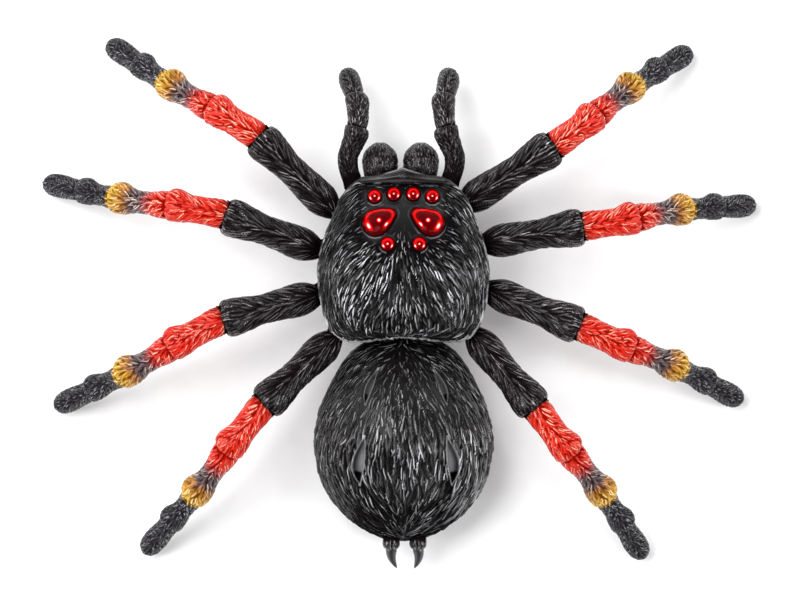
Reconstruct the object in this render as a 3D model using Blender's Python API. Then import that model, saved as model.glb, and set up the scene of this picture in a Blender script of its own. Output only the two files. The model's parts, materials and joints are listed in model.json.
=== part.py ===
"""Battery toy tarantula: eight geared legs, wheel drive, light-up eyes.

Frame: metres in the file, millimetres in the constants below.  +Y is the
head, +X the animal's right side seen from above, +Z up, floor at z = 0.
"""
import math

import bpy
import bmesh
import numpy as np
from mathutils import Matrix, Vector

MM = 0.001
GAP = 0.3                    # clearance between neighbouring pieces

# ---- outlines, half width at Y (front to rear) ---------------------------
CARAPACE_CENTRE_Y = 17.0
CARAPACE = ((50.6, 0.0), (50.9, 11.0), (50.2, 20.0), (47.2, 24.0), (43.0, 27.2),
            (38.9, 28.7), (28.3, 33.0), (18.0, 35.5), (9.5, 35.9), (-3.1, 34.0),
            (-11.5, 30.8), (-16.0, 25.0), (-16.6, 17.0), (-15.6, 8.0), (-15.0, 0.0))
CARAPACE_TOP = ((-17, 52.0), (0, 59.0), (15, 62.0), (30, 60.5), (44, 54.0), (52, 49.0))
CARAPACE_RIM_Z = 37.5
ABDOMEN_CENTRE_Y = -58.0
ABDOMEN = ((-13.4, 0.0), (-13.9, 8.0), (-16.4, 16.5), (-20.2, 21.8), (-25.4, 26.0),
           (-35.5, 31.5), (-43.0, 34.9), (-50.6, 36.7), (-59.9, 37.8), (-73.3, 35.3),
           (-80.9, 31.7), (-85.9, 28.1), (-90.9, 23.0), (-96.0, 15.8), (-99.0, 8.5),
           (-100.2, 0.0))
ABDOMEN_TOP = ((-100, 50.0), (-80, 60.0), (-58, 63.0), (-40, 60.5), (-25, 53.5), (-13, 44.0))
ABDOMEN_SPLIT_Z = 22.0
SHELL = 1.8                  # moulded wall

# ---- legs -----------------------------------------------------------------
# side, name, hip, femur angle (deg, forward of straight out), femur length in plan, tip
LEGS = (
    (1, "right_1", (26.2, 41.7), 32.8, 44.9, (121.7, 107.6)),
    (1, "right_2", (35.0, 24.9), 9.6, 41.7, (149.3, 42.1)),
    (1, "right_3", (36.3, 5.0), -22.0, 41.4, (144.1, -41.5)),
    (1, "right_4", (29.9, -14.0), -50.0, 40.5, (102.9, -108.0)),
    (-1, "left_1", (30.3, 39.3), 44.3, 43.6, (125.8, 109.8)),
    (-1, "left_2", (36.9, 22.4), 20.5, 41.3, (152.9, 50.4)),
    (-1, "left_3", (37.0, 3.0), -14.9, 41.0, (147.7, -45.1)),
    (-1, "left_4", (29.7, -15.5), -43.6, 40.6, (109.8, -106.7)),
)
HINGES = ((21.2, 38.5), (28.6, 25.2), (31.5, 9.5), (27.0, -6.2))
HIP_Z = 30.0
KNEE_S = 40.3                # where the knee is in the tables below
LEG_Z = ((-8, 30.0), (0, 30.0), (8, 34.0), (20, 41.5), (34, 48.3), (40, 50.2), (50, 51.4),
         (58, 50.2), (65, 47.2), (76, 40.2), (87, 31.4), (95, 24.2), (102, 17.8),
         (110, 10.6), (114, 7.2), (118.4, 4.0))
FEMUR_W = ((-3.0, 4.4), (0, 5.25), (4.2, 7.0), (8.4, 7.1), (16.8, 6.6), (23, 6.4),
           (29.4, 7.2), (34.5, 8.0), (38.6, 8.0), (40.3, 7.4))
SOCKET = ((40.3, 6.7), (37.0, 6.4), (33.2, 5.6))
SHIN_W = ((34.0, 4.2), (40.4, 5.7), (43.5, 6.1), (50.0, 5.5), (55.5, 6.3), (59.5, 7.0),
          (61.9, 6.7), (62.3, 6.0), (66.0, 5.7), (72.0, 4.7), (77.5, 5.2), (82.5, 6.8),
          (85.4, 6.4), (85.8, 5.2), (91.0, 4.5), (96.0, 5.4), (98.8, 5.9), (100.9, 5.4),
          (101.3, 4.7), (109.2, 5.1), (113.8, 4.3), (116.8, 2.8))
BOW = ((40, 0.0), (60, 0.15), (70, 0.75), (80, 1.05), (92, 0.8), (102, 0.3), (110, -0.2),
       (118, -0.5))         # the shin's bend, to the left of its outward direction
SHIN_TIP = 118.0
CRANK_R = 8.0                # hinge axis to drive pin
BAR_TRAVEL = 1.3             # millimetres each way

# ---- drive ----------------------------------------------------------------
AXLE_Y, AXLE_Z = 4.0, 12.0
WHEEL_R = 12.0
MODULE = 0.5
TEETH_PINION, TEETH_BIG, TEETH_SMALL, TEETH_AXLE = 10, 24, 12, 20
IDLE_Y, IDLE_Z = 10.4, 16.8
MOTOR_Y, MOTOR_Z = 18.9, 16.8
CASTER_Y, CASTER_Z, CASTER_R = -91.0, 5.0, 5.0


# ---- materials --------------------------------------------------------------
def material(name, colour, rough, metal=0.0, transmission=0.0):
    mat = bpy.data.materials.new(name)
    mat.use_nodes = True
    node = mat.node_tree.nodes["Principled BSDF"]
    node.inputs["Base Color"].default_value = (*colour, 1.0)
    node.inputs["Roughness"].default_value = rough
    node.inputs["Metallic"].default_value = metal
    node.inputs["Transmission Weight"].default_value = transmission
    mat.diffuse_color = (*colour, 1.0)
    return mat


# ---- mesh helpers -----------------------------------------------------------
def smooth(table, x):
    """Value of a table on a smooth curve through its points."""
    xs = [p[0] for p in table]
    ys = [p[1] for p in table]
    if x <= xs[0]:
        return ys[0]
    if x >= xs[-1]:
        return ys[-1]
    i = max(j for j in range(len(xs) - 1) if xs[j] <= x)
    slope = [(ys[j + 1] - ys[j]) / (xs[j + 1] - xs[j]) for j in range(len(xs) - 1)]
    tangent = [slope[0]] + [(slope[j - 1] + slope[j]) / 2 for j in range(1, len(slope))]
    tangent.append(slope[-1])
    h = xs[i + 1] - xs[i]
    t = (x - xs[i]) / h
    return ((2 * t ** 3 - 3 * t ** 2 + 1) * ys[i] + (t ** 3 - 2 * t ** 2 + t) * h * tangent[i]
            + (3 * t ** 2 - 2 * t ** 3) * ys[i + 1] + (t ** 3 - t ** 2) * h * tangent[i + 1])


def from_bmesh(name, bm, mat=None):
    bmesh.ops.recalc_face_normals(bm, faces=bm.faces)
    mesh = bpy.data.meshes.new(name)
    bm.to_mesh(mesh)
    bm.free()
    obj = bpy.data.objects.new(name, mesh)
    bpy.context.scene.collection.objects.link(obj)
    if mat:
        mesh.materials.append(mat)
    return obj


def loft(name, rings, mat=None, start=None, end=None):
    """Closed body through equal rings of points in mm; a cap is flat or a point."""
    bm = bmesh.new()
    loops = [[bm.verts.new(Vector(p) * MM) for p in ring] for ring in rings]
    count = len(loops[0])
    for a, b in zip(loops, loops[1:]):
        for i in range(count):
            j = (i + 1) % count
            bm.faces.new((a[i], a[j], b[j], b[i]))
    for loop, tip in ((loops[0], start), (loops[-1], end)):
        if tip is None:
            bm.faces.new(loop)
        else:
            top = bm.verts.new(Vector(tip) * MM)
            for i in range(count):
                bm.faces.new((loop[i], loop[(i + 1) % count], top))
    return from_bmesh(name, bm, mat)


def prism(name, outline, z0, z1, mat=None):
    return loft(name, [[(x, y, z0) for x, y in outline], [(x, y, z1) for x, y in outline]], mat)


def box(name, lo, hi, mat=None):
    outline = ((lo[0], lo[1]), (hi[0], lo[1]), (hi[0], hi[1]), (lo[0], hi[1]))
    return prism(name, outline, lo[2], hi[2], mat)


def circle(cx, cy, r, n=16, phase=0.0):
    return [(cx + r * math.cos(phase + math.tau * i / n), cy + r * math.sin(phase + math.tau * i / n))
            for i in range(n)]


def stadium(cx, cy, half, r, along_y, n=6):
    pts = []
    for i in range(2 * n + 2):
        side = 1 if i <= n else -1
        k = i if i <= n else i - 1
        a = -math.pi / 2 + math.pi * k / n
        x, y = half * side + r * math.cos(a), r * math.sin(a)
        pts.append((cx - y, cy + x) if along_y else (cx + x, cy + y))
    return pts


def rod_x(name, x0, x1, y, z, r, n=16, mat=None, phase=0.0):
    ring = circle(y, z, r, n, phase)
    return loft(name, [[(x0, a, b) for a, b in ring], [(x1, a, b) for a, b in ring]], mat)


def rod_z(name, x, y, r, z0, z1, n=12, mat=None):
    return prism(name, circle(x, y, r, n), z0, z1, mat)


def combine(obj, other, operation):
    """Boolean the second body into the first and drop it."""
    mod = obj.modifiers.new("boolean", "BOOLEAN")
    mod.operation = operation
    mod.solver = "EXACT"
    mod.object = other
    bpy.context.view_layer.update()
    graph = bpy.context.evaluated_depsgraph_get()
    mesh = bpy.data.meshes.new_from_object(obj.evaluated_get(graph))
    obj.modifiers.clear()
    old = obj.data
    obj.data = mesh
    bpy.data.meshes.remove(old)
    gone = other.data
    bpy.data.objects.remove(other)
    bpy.data.meshes.remove(gone)
    return obj


def cut(obj, *others):
    for other in others:
        combine(obj, other, "DIFFERENCE")
    return obj


def join(obj, *others):
    for other in others:
        combine(obj, other, "UNION")
    return obj


def finish(obj, mat, origin=(0.0, 0.0, 0.0)):
    """Clean the body, give it its one material and put its origin on its axis."""
    bm = bmesh.new()
    bm.from_mesh(obj.data)
    bmesh.ops.remove_doubles(bm, verts=bm.verts, dist=2e-6)
    bmesh.ops.dissolve_degenerate(bm, dist=1e-6, edges=bm.edges)
    bmesh.ops.triangulate(bm, faces=bm.faces)
    bmesh.ops.recalc_face_normals(bm, faces=bm.faces)
    shift = Vector(origin) * MM
    bmesh.ops.translate(bm, verts=bm.verts, vec=-shift)
    bm.to_mesh(obj.data)
    bm.free()
    obj.data.materials.clear()
    obj.data.materials.append(mat)
    obj.location = shift
    return obj


# ---- dome outlines ------------------------------------------------------------
def outline(table, count):
    """Even points round a symmetric outline given as (y, half width)."""
    right = [(w, y) for y, w in table]
    loop = right + [(-x, y) for x, y in reversed(right[1:-1])]
    pts = np.array(loop)
    n = len(pts)
    fine = []
    for i in range(n):
        p0, p1, p2, p3 = (pts[(i + k) % n] for k in (-1, 0, 1, 2))
        for t in np.linspace(0, 1, 8, endpoint=False):
            fine.append(0.5 * (2 * p1 + (p2 - p0) * t + (2 * p0 - 5 * p1 + 4 * p2 - p3) * t * t
                               + (3 * p1 - p0 - 3 * p2 + p3) * t ** 3))
    fine = np.array(fine + [fine[0]])
    run = np.concatenate([[0], np.cumsum(np.linalg.norm(np.diff(fine, axis=0), axis=1))])
    at = np.linspace(0, run[-1], count, endpoint=False)
    return [(float(np.interp(a, run, fine[:, 0])), float(np.interp(a, run, fine[:, 1]))) for a in at]


def scaled(points, centre_y, factor, inset=0.0):
    out = []
    for x, y in points:
        dx, dy = x, y - centre_y
        size = math.hypot(dx, dy)
        k = factor * max(0.0, 1 - inset / size)
        out.append((dx * k, centre_y + dy * k))
    return out


def dome_z(s, y, rim, top, power, root):
    return rim + (smooth(top, y) - rim) * max(0.0, 1 - s ** power) ** root


def dome(name, points, centre_y, rim, top, power, root, wall):
    """Open-bottomed moulded shell over an outline."""
    levels = (1.0, 0.98, 0.92, 0.81, 0.64, 0.42, 0.2)
    rings = []
    for s in levels:
        ring = scaled(points, centre_y, s)
        rings.append([(x, y, dome_z(s, y, rim, top, power, root)) for x, y in ring])
    inner = []
    for s in levels:
        ring = scaled(points, centre_y, s, wall)
        inner.append([(x, y, dome_z(s, y, rim, top, power, root) - (wall if s < 1 else 0) * (1 - s ** 9))
                      for x, y in ring])
    bm = bmesh.new()
    loops = [[bm.verts.new(Vector(p) * MM) for p in ring] for ring in reversed(rings)]
    loops += [[bm.verts.new(Vector(p) * MM) for p in ring] for ring in inner]
    count = len(points)
    for a, b in zip(loops, loops[1:]):
        for i in range(count):
            j = (i + 1) % count
            bm.faces.new((a[i], a[j], b[j], b[i]))
    peak = dome_z(0, centre_y, rim, top, power, root)
    for loop, z in ((loops[0], peak), (loops[-1], peak - wall)):
        tip = bm.verts.new(Vector((0, centre_y, z)) * MM)
        for i in range(count):
            bm.faces.new((loop[i], loop[(i + 1) % count], tip))
    return from_bmesh(name, bm)


def surface_z(x, y, table, centre_y, rim, top, power, root):
    """Height of a dome shell's outside at a point in plan."""
    pts = outline(table, 180)
    angle = math.atan2(y - centre_y, x)
    best = min(pts, key=lambda p: abs(math.remainder(math.atan2(p[1] - centre_y, p[0]) - angle, math.tau)))
    s = min(1.0, math.hypot(x, y - centre_y) / math.hypot(best[0], best[1] - centre_y))
    return dome_z(s, y, rim, top, power, root)


def carapace_z(x, y):
    return surface_z(x, y, CARAPACE, CARAPACE_CENTRE_Y, CARAPACE_RIM_Z, CARAPACE_TOP, 2.4, 0.55)


def abdomen_z(x, y):
    return surface_z(x, y, ABDOMEN, ABDOMEN_CENTRE_Y, ABDOMEN_SPLIT_Z, ABDOMEN_TOP, 2.2, 0.5)


# ---- eyes ------------------------------------------------------------------------
SMALL_EYES = ((12.05, 44.4), (4.05, 45.4), (6.6, 24.3))


def teardrop(side, grow=0.0, n=13):
    """Large eye outline: a circle drawn out to a point at the inner front."""
    cx, cy, r = 11.4, 33.3, 5.9 + grow
    tx, ty = 4.1 - grow * 0.7, 39.6 + grow * 0.7
    reach = math.hypot(tx - cx, ty - cy)
    toward = math.atan2(ty - cy, tx - cx)
    half = math.acos(r / reach)
    pts = []
    for i in range(n):
        a = toward + half + (math.tau - 2 * half) * i / (n - 1)
        pts.append((side * (cx + r * math.cos(a)), cy + r * math.sin(a)))
    pts.append((side * tx, ty))
    return pts


def eye_outlines(grow, n=10):
    out = []
    for side in (1, -1):
        for x, y in SMALL_EYES:
            out.append(((side * x, y), circle(side * x, y, 2.75 + grow, n), 1.3))
        out.append(((side * 10.6, 33.9), teardrop(side, grow), 1.8))
    return out


# ---- sub-parts -------------------------------------------------------------------
def carapace(mat):
    body = dome("carapace_shell", outline(CARAPACE, 32), CARAPACE_CENTRE_Y, CARAPACE_RIM_Z,
                CARAPACE_TOP, 2.4, 0.55, SHELL)
    for i, (_, ring, _) in enumerate(eye_outlines(GAP)):
        cut(body, prism(f"eye_hole_{i}", ring, 39.0, 70.0))
    return finish(body, mat)


def eye_cluster(mat):
    web = prism("eye_cluster", ((11, 46.4), (14, 42), (18, 36), (18, 29), (11, 21), (-11, 21),
                                (-18, 29), (-18, 36), (-14, 42), (-11, 46.4)), 40.2, 41.4)
    for i, (mid, ring, height) in enumerate(eye_outlines(0.0)):
        rings = [[(x, y, 40.6) for x, y in ring]]
        for k, rise in ((1.0, 0.15), (0.84, 0.55), (0.5, 0.88)):
            rings.append([(mid[0] + (x - mid[0]) * k, mid[1] + (y - mid[1]) * k,
                           carapace_z(mid[0] + (x - mid[0]) * k, mid[1] + (y - mid[1]) * k)
                           + rise * height) for x, y in ring])
        tip = (mid[0], mid[1], carapace_z(*mid) + height)
        join(web, loft(f"lens_{i}", rings, None, None, tip))
    return finish(web, mat)


def belly(mat):
    rim = scaled(outline(CARAPACE, 32), CARAPACE_CENTRE_Y, 1.0, 4.0)
    cy = CARAPACE_CENTRE_Y
    out = ((37.2, 1.0), (16.0, 1.0), (9.0, 0.95), (4.5, 0.80))
    ins = ((6.0, 0.76), (9.6, 0.88), (16.4, 0.93), (37.2, 0.94))
    rings = [[(x, y, z) for x, y in scaled(rim, cy, k)] for z, k in out]
    inner = [[(x, y, z) for x, y in scaled(rim, cy, k)] for z, k in ins]
    bm = bmesh.new()
    loops = [[bm.verts.new(Vector(p) * MM) for p in ring] for ring in rings + inner]
    count = len(rim)
    pairs = [(0, 1), (1, 2), (2, 3), (4, 5), (5, 6), (6, 7), (7, 0)]
    for a, b in pairs:
        for i in range(count):
            j = (i + 1) % count
            bm.faces.new((loops[a][i], loops[a][j], loops[b][j], loops[b][i]))
    bm.faces.new(loops[3])
    bm.faces.new(loops[4])
    body = from_bmesh("belly_shell", bm)
    shelf = prism("shelf", scaled(rim, cy, 0.975), 18.0, 20.0)
    cut(shelf, prism("shelf_hole", scaled(rim, cy, 0.76), 17.0, 21.0),
        box("well", (-23.2, -9.0, 17.0), (23.2, 17.2, 21.0)))
    join(body, shelf)
    for side in (1, -1):
        for gx, gy in ((16.9, 31.9), (21.8, 18.6)):
            join(body, rod_z("guide", side * gx, gy, 1.0, 5.4, 28.8, 8))
    face = [(-22.4, 45.4), (22.4, 45.4), (22.4, 49.0), (19.0, 51.6), (-19.0, 51.6), (-22.4, 49.0)]
    join(body, prism("face", face, 24.0, 36.4))
    join(body, cut(box("bearing", (-9.6, 0.0, 5.4), (-8.4, 7.6, 16.0)),
                   rod_x("bearing_hole", -11, -7, AXLE_Y, AXLE_Z, 1.5)))
    for side, name, hip, *_ in LEGS:
        hx, hy = HINGES[int(name[-1]) - 1]
        way = math.atan2(hip[1] - hy, hip[0] - hx)
        c, s = math.cos(way), math.sin(way)
        ring = [(side * (hx + c * u - s * v), hy + s * u + c * v)
                for u, v in ((-5.2, -7.2), (14, -8.6), (14, 8.6), (-5.2, 7.2))]
        cut(body, prism("notch", ring, 24.0, 40.0))
        join(body, rod_z("boss", side * hx, hy, 3.3, 19.0, 25.0, 10),
             rod_z("pin", side * hx, hy, 1.5, 24.0, 38.2, 8))
    for side in (1, -1):
        cut(body, box("wheel_arch", (side * 19.55 - 2.6, AXLE_Y - 12.5, 3.0),
                      (side * 19.55 + 2.6, AXLE_Y + 12.5, 24.4)))
    return finish(body, mat)


def abdomen_top(mat):
    body = dome("abdomen_top_shell", outline(ABDOMEN, 32), ABDOMEN_CENTRE_Y, ABDOMEN_SPLIT_Z,
                ABDOMEN_TOP, 2.2, 0.5, SHELL)
    for side in (1, -1):
        for (tx, ty), (bx, by), width in (((16.4, -56.2), (18.4, -75.8), 4.6),
                                          ((11.2, -28.2), (16.0, -41.4), 2.8)):
            ring = []
            for i in range(13):
                t = i / 12
                w = width * math.sin(math.pi * t ** 0.8) ** 0.8
                ring.append((side * (tx + (bx - tx) * t + w), ty + (by - ty) * t))
            ring += [(side * (tx + (bx - tx) * t - 0.35), ty + (by - ty) * t)
                     for t in (0.9, 0.7, 0.5, 0.3, 0.1)]
            deep = 1.1
            rings = [[(x, y, abdomen_z(x, y) - deep) for x, y in ring],
                     [(x, y, abdomen_z(x, y) + 6) for x, y in ring]]
            cut(body, loft("recess", rings))
    return finish(body, mat)


def abdomen_bottom(mat):
    pts = outline(ABDOMEN, 32)
    cy = ABDOMEN_CENTRE_Y
    top = ABDOMEN_SPLIT_Z - GAP
    out = ((top, 1.0), (14.0, 0.99), (10.0, 0.975), (8.0, 0.92))
    ins = ((9.6, 0.925), (10.0, 0.94), (14.5, 0.95), (top, 0.955))
    loops = [[(x, y, z) for x, y in scaled(pts, cy, k)] for z, k in out + ins]
    bm = bmesh.new()
    loops = [[bm.verts.new(Vector(p) * MM) for p in ring] for ring in loops]
    count = len(pts)
    for a, b in ((0, 1), (1, 2), (2, 3), (4, 5), (5, 6), (6, 7), (7, 0)):
        for i in range(count):
            j = (i + 1) % count
            bm.faces.new((loops[a][i], loops[a][j], loops[b][j], loops[b][i]))
    bm.faces.new(loops[3])
    bm.faces.new(loops[4])
    body = from_bmesh("abdomen_bottom_shell", bm)
    cut(body, prism("cover_hole", rounded(22.8, -84.0, -29.0, 5.0), 6.0, 9.9))
    cut(body, box("switch_slot", (-2.3, -24.9, 6.0), (5.3, -21.1, 12.0)))
    cut(body, box("roller_slot", (-4.4, -97.2, 3.0), (4.4, -85.4, 12.5)))
    for side in (1, -1):
        lug = box("lug", (side * 5.45 - 0.75, -94.2, 2.8), (side * 5.45 + 0.75, -87.8, 10.4))
        join(body, cut(lug, rod_x("lug_hole", side * 5.45 - 2, side * 5.45 + 2, CASTER_Y, CASTER_Z,
                                  1.25, 12)))
    return finish(body, mat)


def rounded(half, y0, y1, r, n=4):
    pts = []
    for cx, cy, start in ((half - r, y1 - r, 0), (-half + r, y1 - r, 90),
                          (-half + r, y0 + r, 180), (half - r, y0 + r, 270)):
        for i in range(n + 1):
            a = math.radians(start + 90 * i / n)
            pts.append((cx + r * math.cos(a), cy + r * math.sin(a)))
    return pts


def leg_ring(side, start, way, s, half, count, tall, run, bow=0.0):
    """Ring of the leg's skin square to its path; run is its plan distance from start."""
    rise = math.atan2(smooth(LEG_Z, s + 0.5) - smooth(LEG_Z, s - 0.5), 1.0)
    c, d = math.cos(way), math.sin(way)
    cx, cy, cz = start[0] + c * run - d * bow, start[1] + d * run + c * bow, smooth(LEG_Z, s)
    ring = []
    for i in range(count):
        a = math.tau * i / count
        v, w = half * math.cos(a), half * tall * math.sin(a)
        back = -w * math.sin(rise)
        ring.append((side * (cx + c * back - d * v), cy + d * back + c * v, cz + w * math.cos(rise)))
    return ring


def femur(side, name, hip, angle, length, mat):
    hx, hy = HINGES[int(name[-1]) - 1]
    way = math.radians(angle)
    rings = [leg_ring(side, hip, way, s, w, 10, 0.88, s * length / KNEE_S)
             for s, w in FEMUR_W + SOCKET]
    body = loft(f"femur_{name}", rings)
    neck_way = math.atan2(hip[1] - hy, hip[0] - hx)
    neck = math.hypot(hip[0] - hx, hip[1] - hy)
    rings = []
    for u, r in ((0.6, 2.6), (neck * 0.55, 3.4), (neck - 1.0, 4.2)):
        rings.append([(side * (hx + math.cos(neck_way) * u - math.sin(neck_way) * r * math.cos(a)),
                       hy + math.sin(neck_way) * u + math.cos(neck_way) * r * math.cos(a),
                       HIP_Z + r * math.sin(a)) for a in (math.tau * i / 8 for i in range(8))])
    join(body, loft("neck", rings), rod_z("hub", side * hx, hy, 3.4, 25.3, 35.7, 10))
    arm = prism("arm", stadium(side * (hx - CRANK_R / 2), hy, CRANK_R / 2, 2.8, False), 28.2, 30.6)
    join(body, arm)
    cut(body, prism("slot", stadium(side * (hx - CRANK_R), hy, 1.0, 1.45, False, 4), 27.0, 32.0))
    cut(body, rod_z("bore", side * hx, hy, 1.85, 24.0, 37.0, 8))
    return finish(body, mat, (side * hx, hy, HIP_Z))


def shin(side, name, hip, angle, length, tip, mat):
    turn = math.radians(angle)
    kx, ky = hip[0] + length * math.cos(turn), hip[1] + length * math.sin(turn)
    way = math.atan2(tip[1] - ky, tip[0] - kx)
    stretch = math.dist(tip, (kx, ky)) / (SHIN_TIP - KNEE_S)
    rings = [leg_ring(side, (kx, ky), way, s, w, 10, 0.86, (s - KNEE_S) * stretch,
                      side * smooth(BOW, s)) for s, w in SHIN_W]
    bow = side * BOW[-1][1]
    end = (side * (tip[0] - math.sin(way) * bow), tip[1] + math.cos(way) * bow,
           smooth(LEG_Z, SHIN_TIP) - 0.6)
    hx, hy = HINGES[int(name[-1]) - 1]
    return finish(loft(f"lower_leg_{name}", rings, None, None, end), mat, (side * hx, hy, HIP_Z))


def drive_bar(side, name, mat):
    pins = [(x - CRANK_R, y) for x, y in HINGES]
    left, right = [], []
    for i, p in enumerate(pins):
        a = Vector(pins[max(i - 1, 0)])
        b = Vector(pins[min(i + 1, 3)])
        way = (b - a).normalized()
        off = Vector((-way.y, way.x))
        ext = way * (-2.6 if i == 0 else 1.6 if i == 3 else 0.0)
        left.append(Vector(p) + off * 2.5 + ext)
        right.append(Vector(p) - off * 3.4 + ext)
    ring = [(side * v.x, v.y) for v in left + right[::-1]]
    body = prism(f"leg_drive_bar_{name}", ring, 26.0, 27.7)
    join(body, box("yoke", (side * 18.8 - 3.2, AXLE_Y - 9.2, 26.0), (side * 18.8 + 3.2, AXLE_Y + 9.2, 27.7)))
    for y0 in (AXLE_Y - 9.2, AXLE_Y + 7.6):
        join(body, box("prong", (side * 16.2 - 0.6, y0, 8.0), (side * 16.2 + 0.6, y0 + 1.6, 27.0)))
    for x, y in pins:
        join(body, rod_z("pin", side * x, y, 1.1, 27.0, 31.2, 8))
    for gx, gy in ((16.9, 31.9), (21.8, 18.6)):
        cut(body, prism("guide_slot", stadium(side * gx, gy, BAR_TRAVEL + 0.1, 1.3, True, 4), 25.0, 28.5))
    return finish(body, mat, (side * 20.0, AXLE_Y, 26.85))


def gear_ring(teeth, cy, cz, centre):
    """Trapezoid teeth; one tooth is centred on the angle given."""
    pitch = MODULE * teeth / 2
    step = math.tau / teeth
    pts = []
    for i in range(teeth):
        a = centre + i * step
        for frac, r in ((-0.30, pitch - 0.5), (-0.13, pitch + 0.34), (0.13, pitch + 0.34),
                        (0.30, pitch - 0.5)):
            pts.append((cy + r * math.cos(a + frac * step), cz + r * math.sin(a + frac * step)))
    return pts


def gear(name, teeth, x0, x1, y, z, centre):
    ring = gear_ring(teeth, y, z, centre)
    return loft(name, [[(x0, a, b) for a, b in ring], [(x1, a, b) for a, b in ring]])


def gears(mats):
    to_motor = math.atan2(MOTOR_Z - IDLE_Z, MOTOR_Y - IDLE_Y)
    to_axle = math.atan2(AXLE_Z - IDLE_Z, AXLE_Y - IDLE_Y)
    idle = gear("idler_gear", TEETH_BIG, 10.2, 12.0, IDLE_Y, IDLE_Z, to_motor)
    join(idle, gear("small", TEETH_SMALL, 11.4, 15.0, IDLE_Y, IDLE_Z, to_axle))
    cut(idle, rod_x("bore", 9, 16, IDLE_Y, IDLE_Z, 1.2, 12))
    finish(idle, mats["gear"], (12.5, IDLE_Y, IDLE_Z))
    half = math.pi / TEETH_PINION
    pinion = gear("motor_pinion", TEETH_PINION, 10.0, 12.4, MOTOR_Y, MOTOR_Z, to_motor + math.pi + half)
    join(pinion, rod_x("shaft", 8.3, 11.0, MOTOR_Y, MOTOR_Z, 1.0, 10))
    finish(pinion, mats["brass"], (11.0, MOTOR_Y, MOTOR_Z))
    half = math.pi / TEETH_AXLE
    last = gear("axle_gear", TEETH_AXLE, 12.4, 15.0, AXLE_Y, AXLE_Z, to_axle + math.pi + half)
    cut(last, rod_x("bore", 11, 16, AXLE_Y, AXLE_Z, 1.3, 14))
    finish(last, mats["gear"], (13.7, AXLE_Y, AXLE_Z))
    finish(rod_x("drive_axle", -22.4, 22.4, AXLE_Y, AXLE_Z, 1.15, 14), mats["steel"],
           (0.0, AXLE_Y, AXLE_Z))


def wheel(side, name, mats):
    x0, x1 = sorted((side * 17.3, side * 21.8))
    body = rod_x(f"drive_wheel_{name}", x0, x1, AXLE_Y, AXLE_Z, 9.6, 24)
    dish0, dish1 = sorted((side * 20.4, side * 23.0))
    cut(body, cut(rod_x("dish", dish0, dish1, AXLE_Y, AXLE_Z, 8.0, 20),
                  rod_x("hub", dish0 - 1, dish1 + 1, AXLE_Y, AXLE_Z, 3.0, 14)))
    e0, e1 = sorted((side * 15.5, side * 18.0))
    join(body, rod_x("eccentric", e0, e1, AXLE_Y, AXLE_Z + side * BAR_TRAVEL, 3.8, 18))
    cut(body, rod_x("bore", x0 - 4, x1 + 4, AXLE_Y, AXLE_Z, 1.3, 14))
    finish(body, mats["wheel"], (side * 19.5, AXLE_Y, AXLE_Z))
    tyre = rod_x(f"tyre_{name}", x0, x1, AXLE_Y, AXLE_Z, WHEEL_R, 28)
    cut(tyre, rod_x("inside", x0 - 1, x1 + 1, AXLE_Y, AXLE_Z, 9.75, 24))
    finish(tyre, mats["rubber"], (side * 19.5, AXLE_Y, AXLE_Z))


def caster(mats):
    body = rod_x("idler_roller", -4.0, 4.0, CASTER_Y, CASTER_Z, CASTER_R, 24)
    cut(body, rod_x("bore", -5, 5, CASTER_Y, CASTER_Z, 1.3, 12))
    finish(body, mats["wheel"], (0.0, CASTER_Y, CASTER_Z))
    finish(rod_x("roller_pin", -6.6, 6.6, CASTER_Y, CASTER_Z, 1.0, 12), mats["steel"])


def motor(mats):
    ring = []
    for i in range(24):
        a = math.tau * i / 24
        y, z = 10.0 * math.cos(a), 10.0 * math.sin(a)
        ring.append((MOTOR_Y + y, MOTOR_Z + max(-7.6, min(7.6, z))))
    body = loft("drive_motor", [[(x, a, b) for a, b in ring] for x in (-14.6, 8.0)])
    finish(body, mats["steel_dull"])
    cap = box("gearbox_plate", (8.4, -1.0, 6.4), (9.7, 29.5, 25.0))
    cut(cap, rod_x("shaft_hole", 7, 11, MOTOR_Y, MOTOR_Z, 1.5, 12),
        rod_x("axle_hole", 7, 11, AXLE_Y, AXLE_Z, 1.5, 12))
    join(cap, rod_x("idler_post", 9.0, 15.2, IDLE_Y, IDLE_Z, 0.9, 10),
         box("foot_a", (5.0, -1.0, 6.4), (9.0, 5.0, 7.6)), box("foot_b", (9.2, 22.0, 6.4), (13.0, 29.5, 7.6)))
    finish(cap, mats["gearbox"])


def hip_plate(mat):
    rim = scaled(outline(CARAPACE, 32), CARAPACE_CENTRE_Y, 0.94, 4.0)
    rim = scaled(rim, CARAPACE_CENTRE_Y, 0.985)
    body = prism("hip_plate", rim, 36.1, 37.2)
    cut(body, prism("opening", scaled(rim, CARAPACE_CENTRE_Y, 0.5), 35, 39))
    for side in (1, -1):
        for x, y in HINGES:
            cut(body, rod_z("hole", side * x, y, 1.8, 35, 39, 10))
    return finish(body, mat)


def blob_y(name, x, y0, y1, z, half_w, half_h, sink=0.0, lean=0.0):
    """Rounded furry lobe lying along Y; its blunt end is at y1."""
    rings = []
    for t, k in ((0, 0.86), (0.3, 0.97), (0.55, 1.0), (0.75, 0.93), (0.9, 0.7), (0.97, 0.42)):
        y = y0 + (y1 - y0) * t
        rings.append([(x + lean * t + half_w * k * math.cos(a), y, z - sink * t + half_h * k * math.sin(a))
                      for a in (math.tau * i / 12 for i in range(12))])
    return loft(name, rings, None, None, (x + lean, y1, z - sink))


HEAD_SHIFT = -0.9            # mouthparts sit a little to the left of the middle


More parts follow.
